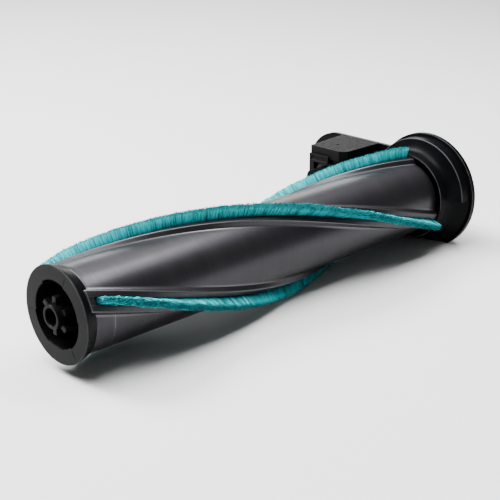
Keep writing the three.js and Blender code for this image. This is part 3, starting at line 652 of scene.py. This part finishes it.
def round_end(distance):
    """How far the tube's rounded corner has drawn in at a distance from the end."""
    short = max(TUBE_CORNER - distance, 0.0)
    return TUBE_CORNER - math.sqrt(TUBE_CORNER**2 - short**2)


def stations():
    """Places along the tube, close together at its ends."""
    ends = [0, 0.08, 0.2, 0.36, TUBE_CORNER]
    near = [TUBE_START + d for d in ends] + [SLOT_START - 0.01, SLOT_START + 0.01]
    far = [TUBE_END - d for d in reversed(ends)]
    middle = np.linspace(SLOT_START + 1, TUBE_END - 1.6, 170)
    return [*near, *middle, *far]


def twisted_ring(section, x, inset):
    """One ring of the tube's outside, turned along the helix and drawn in by an inset."""
    ring = []
    for y, z in turned_outline([p[:2] for p in section], TWIST * x):
        radius = math.hypot(y, z)
        share = (radius - inset) / radius
        ring.append((x, y * share, z * share))
    return ring


def write_attribute(mesh, name, values):
    """Gives every point of a mesh a value that its material reads."""
    mesh.attributes.new(name, "FLOAT", "POINT").data.foreach_set("value", np.asarray(values, np.float32))


def roller_tube():
    """Tube with helical rails, open at both ends, and the rails' tongues at the cap."""
    open_slot, filled = tube_section(True), tube_section(False)
    places = stations()
    outside, inside, painted_light = [], [], []
    for x in places:
        section = filled if x < SLOT_START else open_slot
        outside += twisted_ring(section, x, round_end(min(x - TUBE_START, TUBE_END - x)))
        # Painted highlight along the tube's end edge.
        shine = 0.8 if x > TUBE_END - 0.3 else 0.0
        painted_light += [max(edge, shine) for _, _, edge in section]
        for y, z in turned_outline([point[:2] for point in open_slot], TWIST * x):
            share = TUBE_BORE / math.hypot(y, z)
            inside.append((x, y * share, z * share))
    vertices = outside + inside
    painted_light += [0.0] * len(inside)
    faces = tube_faces(len(places), len(open_slot))
    for index in range(RAILS):
        add_tongue(vertices, painted_light, faces, index)
    mesh = bpy.data.meshes.new("roller_tube")
    mesh.from_pydata(vertices, [], faces)
    mesh.update()
    write_attribute(mesh, "edge", painted_light)
    tube = bpy.data.objects.new("roller_tube_fine", mesh)
    bpy.context.scene.collection.objects.link(tube)
    place(tube, tube.name, "roller", ["roller_tube"], "roller_metal", weighted=False)


def tube_faces(levels, count):
    """Walls between the outer rings, then the inner rings, and the two end faces."""
    faces = []
    inner = levels * count
    last = inner - count
    for i in range(count):
        j = (i + 1) % count
        for low in range(0, last, count):
            high = low + count
            faces.append((low + i, low + j, high + j, high + i))
            faces.append((inner + low + j, inner + low + i, inner + high + i, inner + high + j))
        faces.append((j, i, inner + i, inner + j))
        faces.append((last + i, last + j, inner + last + j, inner + last + i))
    return faces


def add_tongue(vertices, painted_light, faces, index):
    """Adds the end of a rail that reaches past the tube into the cap's notch."""
    seat = TUBE_R + 0.35
    outline = [point for point in rail_section(False) if math.hypot(point[0], point[1]) > seat]
    edge = outline[0][0] + 0.15
    closing = [(-edge * k, math.sqrt(seat**2 - (edge * k) ** 2), 0.2) for k in (1, 0.5, 0, -0.5, -1)]
    loop = outline + closing
    spots = [(0, 0.35), (0.12, 0.14), (0.35, 0.0), (TUBE_START + 0.3 - RAIL_START, 0.0)]
    start, count = len(vertices), len(loop)
    for along, inset in spots:
        x = RAIL_START + along
        turned_loop = turned_outline([point[:2] for point in loop], rail_angle(index) + TWIST * x)
        for (y, z), (_, _, shine) in zip(turned_loop, loop):
            radius = math.hypot(y, z)
            share = 1 - inset / radius if radius > seat + 0.05 else 1
            vertices.append((x, y * share, z * share))
            # Painted highlight on the end of each tongue.
            painted_light.append(max(shine, 0.9 if along < 0.2 else 0.0))
    faces.extend(stack_faces(len(spots), count, start))


# ------------------------------------------------------------------ pile

PILE_ROWS = 15
PILE_PITCH = 0.205
PILE_FLOOR = 18.9
TUFT = 0.6  # length of a tuft along the strip
TUFT_ROWS = 4
THIN_START = 16.0  # how far from the cap the pile is shorter and narrower
FIBRE_RADIUS = 0.13
FIBRE_LEVELS = ((0.0, 1.0), (1.0, 0.7))  # share of its height, share of its radius
FIBRE_SIDES = 3
CORE_POINTS = 6
PRESSED_STRIP, PRESSED_LENGTH = 1, 34.0  # the strip under the roller at the cap, how far it is bent
PRESSED_BACK, PRESSED_UP = 0.75, 0.42  # how far a point moves, as shares of its height over the tube


def wander(rng, x, step):
    """A smooth random curve along the strip, at the places x."""
    knots = int((STRIP_END - STRIP_START) / step) + 3
    values = rng.standard_normal(knots)
    along = (x - STRIP_START) / step
    index = np.clip(along.astype(int), 0, knots - 2)
    share = along - index
    share = share * share * (3 - 2 * share)
    return values[index] * (1 - share) + values[index + 1] * share


def fibre_roots(rng):
    """Where the fibres of a strip stand, as places along it and across it, in loose rows."""
    columns = int((STRIP_END - STRIP_START) / PILE_PITCH)
    rows = (np.arange(PILE_ROWS) + 0.5) / PILE_ROWS * 2 - 1
    x, across = np.meshgrid(np.linspace(STRIP_START + 0.2, STRIP_END - 0.2, columns), rows * 1.4)
    x = np.clip(x.ravel() + rng.uniform(-0.14, 0.14, x.size), STRIP_START, STRIP_END)
    return x, across.ravel() + rng.uniform(-0.12, 0.12, x.size)


def tufts_of(rng, x, across):
    """The number of every fibre's tuft, and its place along the tuft from -0.5 to 0.5."""
    row = np.clip((across / SLOT_HALF + 1) * TUFT_ROWS / 2, 0, TUFT_ROWS - 1).astype(int)
    tuft_place = (x + wander(rng, x, 5.0) * 0.4 + row * 0.37) / TUFT
    column = tuft_place.astype(int)
    return column * TUFT_ROWS + row, tuft_place - column - 0.5


def fibre_field(index):
    """Every fibre of one strip: its root, how far its tip leans, its length, and its tint with painted shade."""
    rng = np.random.default_rng(40 + index)
    x, across = fibre_roots(rng)
    tuft, from_middle = tufts_of(rng, x, across)
    tufts = tuft.max() + 1
    lean = rng.normal(0, 0.12, tufts)[tuft]
    length = rng.normal(0, 0.12, tufts)[tuft] + wander(rng, x, 9.0) * 0.1
    # The tone differs at random from tuft to tuft; the fall towards each tuft's ends is painted shade in the gaps
    # between tufts.
    tone_and_gap_shade = rng.normal(0, 0.2, tufts)[tuft] - np.abs(from_middle) * 0.3
    along = lean - from_middle * 0.08 + rng.normal(0, 0.3, x.size) + splay(x)
    start = np.clip(1 - (x - STRIP_START) / THIN_START, 0, 1)
    sideways = across * (0.17 - start * 0.5) + wander(rng, x, 7.0) * 0.06 + rng.normal(0, 0.34, x.size)
    ragged = np.minimum(length + rng.normal(0.1, 0.32, x.size), 0.9)
    rounding = (across / SLOT_HALF) ** 2 * (0.1 + start)
    grown = TIP_RADII[index] - PILE_FLOOR + ragged - rounding - start * 1.5
    tint_and_shade = np.clip(0.55 + tone_and_gap_shade + rng.normal(0, 0.3, x.size), 0, 1)
    return x, across, along, sideways, grown, tint_and_shade


def splay(x):
    """How far the tips lean along the strip at its ends, always towards the drive."""
    left = np.clip(1 - (x - STRIP_START) / 6, 0, 1)
    right = np.clip(1 - (STRIP_END - x) / 4, 0, 1) ** 2
    return right * 1.8 + left * 0.8


def fibre_points(x, across, along, sideways, grown, tint_and_shade):
    """The corners of every fibre, level by level, in the rail's own untwisted frame."""
    corners = []
    for share, thick in FIBRE_LEVELS:
        bend = share**1.6
        for side in range(FIBRE_SIDES):
            angle = 2 * math.pi * side / FIBRE_SIDES + tint_and_shade * 6
            radius = FIBRE_RADIUS * thick
            corner_x = x + along * bend + np.cos(angle) * radius
            corner_y = across + sideways * bend + np.sin(angle) * radius
            corners.append((corner_x, corner_y, PILE_FLOOR + grown * share))
    return np.array(corners).transpose(2, 0, 1).reshape(-1, 3)


def bristle_strip(index):
    """A dense strip of tapered fibres round a packed core, following its helix."""
    field = fibre_field(index)
    points = fibre_points(*field)
    per = len(FIBRE_LEVELS) * FIBRE_SIDES
    fibres = len(points) // per
    faces = []
    for face in stack_faces(len(FIBRE_LEVELS), FIBRE_SIDES):
        faces += (np.array(face) + np.arange(fibres)[:, None] * per).tolist()
    heights = np.tile(np.repeat([share for share, _ in FIBRE_LEVELS], FIBRE_SIDES), fibres)
    tint_and_shade_values = np.repeat(field[-1], per)
    core, core_heights = pile_core(index)
    faces += stack_faces(len(core) // CORE_POINTS, CORE_POINTS, len(points))
    placed = rest_on_floor(twist_points(np.vstack([points, core]), index), index)
    mesh = bpy.data.meshes.new("pile")
    mesh.from_pydata(placed.tolist(), [], faces)
    mesh.update()
    write_attribute(mesh, "height", np.concatenate([heights, core_heights]))
    # The core's low tint value, with its low heights, gives it dark colours: painted shade in the middle of the
    # pile.
    write_attribute(mesh, "tint_and_shade", np.concatenate([tint_and_shade_values, np.full(len(core), 0.1)]))
    pile = bpy.data.objects.new(f"bristle_strip_{index + 1}_pile", mesh)
    bpy.context.scene.collection.objects.link(pile)
    place(pile, pile.name, "roller", [f"bristle_strip_{index + 1}"], "bristle_pile", weighted=False)


def pile_core(index):
    """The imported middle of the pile, which no light passes, and how high its points stand."""
    top = TIP_RADII[index] - 2.4
    foot = PILE_FLOOR + 0.1
    half = [(1.15, foot), (1.1, top - 0.5), (0.6, top)]
    loop = [*half, *[(-across, up) for across, up in reversed(half)]]
    places = np.linspace(STRIP_START + 0.3, STRIP_END - 0.3, 150)
    points = np.array([(x, across, up) for x in places for across, up in loop])
    # These heights pick dark colours from the pile's ramp: painted shade.
    return points, np.tile([0.0, 0.4, 0.45, 0.45, 0.4, 0.0], len(places))


def twist_points(points, index):
    """Points given as (along, across, up) in a rail's frame, turned onto its helix."""
    angle = np.radians(rail_angle(index) + TWIST * points[:, 0])
    y = points[:, 1] * np.cos(angle) - points[:, 2] * np.sin(angle)
    z = points[:, 1] * np.sin(angle) + points[:, 2] * np.cos(angle)
    return np.column_stack([points[:, 0], y, z])


def rest_on_floor(points, index):
    """Bends the pile that stands under the roller backwards, and keeps all of it off the floor."""
    x, y, z = points.T
    if index == PRESSED_STRIP:
        pressed = np.clip(1 - (x - STRIP_START) / PRESSED_LENGTH, 0, 1)
        out = np.clip(np.hypot(y, z) - TUBE_R, 0, None)
        y = y + pressed * out * PRESSED_BACK
        z = z + pressed * out * PRESSED_UP
    return np.column_stack([x, y, np.maximum(z, FLOOR_Z + 0.05)])


# ------------------------------------------------------------------ idler cap


def end_cap():
    """Cup with a notched rim, stepped pocket mouth, marks on its face and a splined hub."""
    cup = cut(cap_cup(), *rail_notches(), *pocket_steps(), *face_marks())
    soften(cup, 0.12)
    merged = merge([cup, cap_hub(), *hub_ribs(), *pocket_webs()])
    place(merged, "end_cap_fine", "roller", ["end_cap"], "cap_plastic")


def cap_cup():
    """The cap's rim, its spigot in the tube, and the pocket, as one turned shape."""
    spigot = TUBE_BORE - GAP
    bottom = POCKET_FLOOR + 2
    outside = [
        (0.0, CAP_R - 0.22),
        (0.05, CAP_R - 0.07),
        (0.2, CAP_R),
        (1.2, CAP_R - 0.12),
        (CAP_BACK - 0.25, CAP_BACK_R + 0.05),
        (CAP_BACK, CAP_BACK_R - 0.2),
        (CAP_BACK, spigot),
        (bottom, spigot),
        (bottom, 0),
    ]
    inside = [(POCKET_FLOOR, 0), (POCKET_FLOOR, POCKET_R - 0.2), (0.25, POCKET_R), (0, POCKET_R + 0.25)]
    return turned([*outside, *inside], steps=192)


def cap_hub():
    """The bored hub in the middle of the pocket."""
    nose = -HUB_OUT
    inside = [(nose, HUB_BORE + 0.25), (nose + 0.3, HUB_BORE), (HUB_BORE_END, HUB_BORE), (HUB_BORE_END, 0)]
    outside = [(POCKET_FLOOR + 1, 0), (POCKET_FLOOR + 1, HUB_R), (nose + 0.35, HUB_R), (nose, HUB_R - 0.3)]
    return turned([*outside, *inside])


def rail_notches():
    """Room at the cap's back edge for the ends of the rails."""
    half, low, high = RAIL_FOOT_HALF + 0.15, TUBE_R - 1.3, RAIL_TOP + 2
    outline = [(half, low), (half, high), (-half, high), (-half, low)]
    turn = TWIST * (RAIL_START + CAP_BACK) / 2
    return [
        prism(turned_outline(outline, rail_angle(i) + turn), RAIL_START - GAP, CAP_BACK + 1)
        for i in range(RAILS)
    ]


def pocket_steps():
    """Three shallow steps that widen the pocket's mouth."""
    steps = []
    for i in range(RAILS):
        start = 360 / RAILS * i + STEP_FROM
        outer = arc(POCKET_R + STEP_OUT, start, start + STEP_SPAN, 20)
        inner = arc(POCKET_R - STEP_IN, start + STEP_SPAN, start, 20)
        steps.append(prism(outer + inner, -1, STEP_DEPTH))
    return steps


def face_marks():
    """Three fine radial grooves on the cap's face."""
    corners = [(MARK_HALF, MARK_IN), (MARK_HALF, MARK_OUT), (-MARK_HALF, MARK_OUT), (-MARK_HALF, MARK_IN)]
    return [
        prism(turned_outline(corners, MARK_ANGLE + 360 / RAILS * i), -1, MARK_DEPTH)
        for i in range(RAILS)
    ]


def hub_ribs():
    """The splines round the hub."""
    tip = RIB_HALF - 0.08
    rib = [(RIB_HALF, RIB_FOOT), (tip, RIB_R), (-tip, RIB_R), (-RIB_HALF, RIB_FOOT)]
    back = POCKET_FLOOR + 0.5
    return [
        soften(prism(turned_outline(rib, 360 / RIBS * i + RIB_ANGLE), RIB_NOSE, back), 0.25)
        for i in range(RIBS)
    ]


def pocket_webs():
    """Three low webs across the bottom of the pocket."""
    web = [(WEB_HALF, WEB_FOOT), (WEB_HALF, POCKET_R), (-WEB_HALF, POCKET_R), (-WEB_HALF, WEB_FOOT)]
    back = POCKET_FLOOR + 0.5
    return [
        soften(prism(turned_outline(web, 360 / RAILS * i + WEB_ANGLE), WEB_FRONT, back), 0.2)
        for i in range(RAILS)
    ]


def merge(parts):
    """Several solids as one object, each still its own closed shell."""
    work = bmesh.new()
    for part in parts:
        work.from_mesh(part.data)
    mesh = bpy.data.meshes.new("merged")
    work.to_mesh(mesh)
    work.free()
    for part in parts:
        bpy.data.objects.remove(part)
    obj = bpy.data.objects.new("merged", mesh)
    bpy.context.scene.collection.objects.link(obj)
    return obj


# ------------------------------------------------------------------ drive housing

SCREW_SPOTS = [polar(FLANGE_SCREW_R, angle) for angle in FLANGE_SCREW_ANGLES] + BACK_SCREWS


def housing_front():
    """Collar and dish all round, the raised ring over part of the turn, and the bearing's seat."""
    back = JOINED_BACK
    collar = [
        (COLLAR_FLOOR, 0),
        (COLLAR_FLOOR, COLLAR_IN),
        (COLLAR_FRONT + 0.25, COLLAR_IN),
        (COLLAR_FRONT, COLLAR_IN + 0.2),
        (COLLAR_FRONT, COLLAR_OUT - 0.2),
        (COLLAR_FRONT + 0.2, COLLAR_OUT),
    ]
    dish = [(234.2, COLLAR_OUT + 0.1), (236.4, 23.7), (239, 25.2), (241.8, 27.3), (back, 29.6), (back, 0)]
    low = turned([*collar, *dish], steps=160)
    under, step = COLLAR_OUT - 0.5, 233.2
    slope = [(step, under), (step, COLLAR_OUT + 0.05), (234.4, 23.6), (235.5, 24.9), (236.5, 26.9)]
    ring = [(237.15, 29.2), (237.25, 29.7), (237.55, RING_R), (back, RING_R), (back, under)]
    high = turned([*slope, *ring], steps=160, start=RING_FROM, end=RING_TO)
    seat = disc(BEARING_SEAT_R, BEARING_SEAT_FRONT, COLLAR_FLOOR + 1)
    return low, high, seat


def housing_rooms():
    """The belt tunnel and the motor bay, hollow from the side that the cover closes."""
    floor, outside = RING_FRONT + WALL, RIM_BACK + 1
    inner_low, inner_high = BAY_Y0 + BAY_WALL, BAY_Y1 - BAY_WALL
    bottom = FLOOR_Z + BAY_WALL
    return [
        prism(loop_outline(TUNNEL_DRUM_R, TUNNEL_LAY_R), floor, outside),
        block(floor, outside, inner_low, inner_high, bottom, BAY_TOP - WALL),
        bay_block(BAY_WALL, RING_FRONT, bottom, BAY_TOP + 1),
    ]


def housing_holes():
    """Bearing, shafts, motor boss, power socket and screws."""
    inside = RING_FRONT + WALL + 1
    socket_low, socket_high = local_box("power_socket")
    opening = (BAY_Y1 - 4, BAY_Y1 + 1, socket_low.z - GAP, socket_high.z + GAP)
    return [
        disc(BEARING_R, BEARING_SEAT_FRONT - 1, BEARING_BACK),
        disc(SPINDLE_HOLE_R, BEARING_BACK - 1.2, inside),
        disc(SHAFT_HOLE_R, RING_FRONT - 1, inside, MOTOR.y, MOTOR.z, 48),
        disc(MOTOR_BOSS_HOLE_R, BAY_X0 - 1, BAY_X0 + BAY_WALL + 1, MOTOR.y, MOTOR.z, 96),
        disc(LAYSHAFT_HOLE_R, LAYSHAFT_HOLE_START, inside, LAYSHAFT.y, LAYSHAFT.z, 48),
        block(socket_low.x - GAP, socket_high.x + GAP, *opening),
        *[disc(SCREW_HOLE_R, SCREW_HOLE_START, RIM_BACK + 1, y, z, 32) for y, z in SCREW_SPOTS],
    ]


def bay_block(inset, x1, z0, z1):
    """A block in the motor bay's outline, with its back corner cropped, drawn in by an inset."""
    x0, y0, y1 = BAY_X0 + inset, BAY_Y0 + inset, BAY_Y1 - inset
    corner = BAY_CORNER - inset * (2 - math.sqrt(2))
    outline = [(x0, y0), (x1, y0), (x1, y1), (x0 + corner, y1), (x0, y1 - corner)]
    return prism_up(outline, z0, z1)


def drive_housing():
    """One black moulding: flange, collar, belt tunnel and motor bay."""
    back = JOINED_BACK
    rim = prism(housing_outline(), RIM_FRONT, RIM_BACK)
    tunnel = prism(loop_outline(TUNNEL_DRUM_R + WALL, TUNNEL_LAY_R + WALL), RING_FRONT, back)
    boss = disc(LAYSHAFT_BOSS_R, LAYSHAFT_BOSS_FRONT, RING_FRONT + 1, LAYSHAFT.y, LAYSHAFT.z, 64)
    pads = [disc(SCREW_PAD_R, SCREW_PAD_FRONT, back, y, z, 48) for y, z in BACK_SCREWS]
    bay = bay_block(0, back, FLOOR_Z, BAY_TOP)
    body = join(rim, *housing_front(), tunnel, bay, boss, *pads)
    cut(body, *housing_rooms(), *housing_holes(), block(*UNDER_FOOT))
    soften(body, 0.22)
    place(body, "drive_housing_fine", "drive_unit", ["drive_housing"], "housing_plastic")


def prism_up(outline, z0, z1):
    """An outline of (x, y) points, extruded upwards."""
    return stack([[(x, y, z) for x, y in outline] for z in (z0, z1)])


def housing_cover():
    """Bevelled cover over the belt and gears, with sunk screws."""
    shell = stack([[(x, y, z) for y, z in housing_outline(*inset)] for x, *inset in COVER_INSETS])
    start, inside, outside = COVER_ROOM_START, COVER_FACE - WALL, COVER_FACE + 1
    tools = [
        disc(DRUM_ROOM_R, start, inside),
        disc(GEAR_ROOM_R, start, inside, LAYSHAFT.y, LAYSHAFT.z),
        disc(PINION_ROOM_R, start, inside, MOTOR.y, MOTOR.z),
    ]
    for y, z in SCREW_SPOTS:
        tools.append(disc(SCREW_HOLE_R, start, outside, y, z, 32))
        tools.append(disc(SCREW_HEAD_R, COVER_FACE - SCREW_SINK, outside, y, z, 48))
    cut(shell, *tools)
    soften(shell, 0.18)
    place(shell, "housing_cover_fine", "drive_unit", ["housing_cover"], "housing_plastic")


def bay_lid():
    """Matt lid with a cropped corner, a skirt and a small dimple."""
    x1, z0 = RIM_FRONT - GAP, BAY_TOP + GAP
    outline = [
        (LID_X0 + LID_CORNER, LID_Y0),
        (x1, LID_Y0),
        (x1, LID_Y1 + LID_SPREAD),
        (LID_X0, LID_Y1),
        (LID_X0, LID_Y0 + LID_CORNER),
    ]
    lid = prism_up(outline, z0, LID_TOP)
    room = LID_X0 + WALL + LID_CORNER / 2
    inside = block(room, x1 - WALL, LID_Y0 + WALL, LID_Y1 - WALL, z0 - 1, LID_TOP - WALL)
    around = WALL + GAP
    tunnel_outline = loop_outline(TUNNEL_DRUM_R + around, TUNNEL_LAY_R + around)
    tunnel = prism(tunnel_outline, RING_FRONT - GAP, x1 + 1)
    bowl = [(0, LID_TOP - 0.5), (0.7, LID_TOP - 0.35), (0.95, LID_TOP + 0.1), (0, LID_TOP + 0.1)]
    cut(lid, inside, tunnel, turned_up(bowl, LID_X0 + DIMPLE_FROM_END, LID_Y0 + DIMPLE_FROM_FRONT))
    soften(lid, 0.45, 3)
    place(lid, "bay_lid_fine", "drive_unit", ["bay_lid"], "bay_plastic")


def turned_up(profile, x, y):
    """A solid of revolution about a vertical line, from (radius, z) points."""
    turns = [2 * math.pi * i / 48 for i in range(48)]
    rings = [[(x + r * math.cos(turn), y + r * math.sin(turn), z) for turn in turns] for r, z in profile]
    return stack(rings)


def lid_clip():
    """C-shaped clip on the end wall, in front of the lid's skirt, with a groove in its bar."""
    low, high = local_box("lid_clip")
    plate_back = LID_X0 - GAP
    clip = join(
        block(low.x, plate_back, low.y, high.y, CLIP_BAR, high.z),
        block(low.x, plate_back, CLIP_FOOT_Y, high.y, low.z, CLIP_FOOT),
        block(low.x, BAY_X0 - GAP, CLIP_LEG_Y, high.y, low.z, BAY_TOP),
    )
    floor = low.x + CLIP_GROOVE
    cut(clip, block(low.x - 1, floor, low.y + 1, high.y - 1.5, CLIP_BAR + 1.2, high.z - 1.1))
    soften(clip, 0.25, 3)
    place(clip, "lid_clip_fine", "drive_unit", ["lid_clip"], "bay_plastic")


# ------------------------------------------------------------------ carried-over nodes


def finish_cad_nodes():
    """Every CAD node that still shows gets its slot's material and smooth round faces."""
    slots = {row["node"]: row["material_slot"] for row in frame["record"]["subparts"]}
    for name, obj in frame["nodes"].items():
        if obj.hide_render:
            continue
        obj.data.materials.clear()
        obj.data.materials.append(MATERIALS[slots[name]])
        shade(obj.data)


# ------------------------------------------------------------------ stage, lights and camera

WORLD_STRENGTH = 0.24
LIGHTS = [  # name, place, target, (width, height), power
    ("overhead", (-0.35, 0.0, 1.3), (0, 0, 0.03), (1.0, 1.0), 62),
    ("left_back", (-0.35, 0.75, 0.95), (0, 0, 0.03), (0.5, 0.5), 56),
    ("canopy", (0.36, 0.22, 0.80), (-0.05, 0, 0.03), (0.5, 0.5), 3.5),
    ("strip", (0.34, -0.13, 0.80), (-0.10, 0, 0.03), (0.40, 0.18), 7.4),
    ("back", (0.75, 0.9, 0.45), (0, 0, 0.03), (0.8, 0.3), 5),
]
CAMERA_YAW, CAMERA_PITCH = 44.388, 20.408
CAMERA_LENS, CAMERA_SENSOR = 80.76, 36.0
CAMERA_FROM_CAP = Vector((-0.2360, -0.3537, 0.1838))


def make_floor():
    """A plain pale floor under the part."""
    reach = 6.0
    corners = [(-reach, -reach, 0), (reach, -reach, 0), (reach, reach, 0), (-reach, reach, 0)]
    mesh = bpy.data.meshes.new("floor")
    mesh.from_pydata(corners, [], [(0, 1, 2, 3)])
    floor = bpy.data.objects.new("floor", mesh)
    bpy.context.scene.collection.objects.link(floor)
    floor.location.z = min(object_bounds()[0].z, 0) - 0.0002
    nodes = Nodes("floor")
    nodes.set(Roughness=0.9, Base_Color=(0.48, 0.48, 0.48, 1))
    mesh.materials.append(nodes.material)


def make_light(name, place_at, target, size, power):
    """A rectangular soft light; its size is (width, height)."""
    data = bpy.data.lights.new(name, "AREA")
    data.shape = "RECTANGLE"
    data.size, data.size_y = size
    data.energy = power
    light = bpy.data.objects.new(name, data)
    light.location = place_at
    light.rotation_mode = "QUATERNION"
    light.rotation_quaternion = (Vector(target) - Vector(place_at)).to_track_quat("-Z", "Y")
    bpy.context.scene.collection.objects.link(light)


def make_lights():
    """A dim room, wide lights from above, and three small ones that the tube mirrors."""
    world = bpy.data.worlds.new("studio")
    world.use_nodes = True
    background = world.node_tree.nodes["Background"]
    background.inputs["Color"].default_value = (1, 1, 1, 1)
    background.inputs["Strength"].default_value = WORLD_STRENGTH
    bpy.context.scene.world = world
    for light in LIGHTS:
        make_light(*light)


def make_camera():
    """The camera of the picture, given by its place from the idler cap's face."""
    data = bpy.data.cameras.new("camera")
    data.sensor_width = CAMERA_SENSOR
    data.lens = CAMERA_LENS
    camera = bpy.data.objects.new("camera", data)
    camera.location = ORIGIN + CAMERA_FROM_CAP
    camera.rotation_euler = (math.radians(90 - CAMERA_PITCH), 0, math.radians(-CAMERA_YAW))
    bpy.context.scene.collection.objects.link(camera)
    bpy.context.scene.camera = camera


roller_tube()
for strip in range(RAILS):
    bristle_strip(strip)
end_cap()
drive_housing()
housing_cover()
bay_lid()
lid_clip()
finish_cad_nodes()
make_camera()
make_lights()
make_floor()
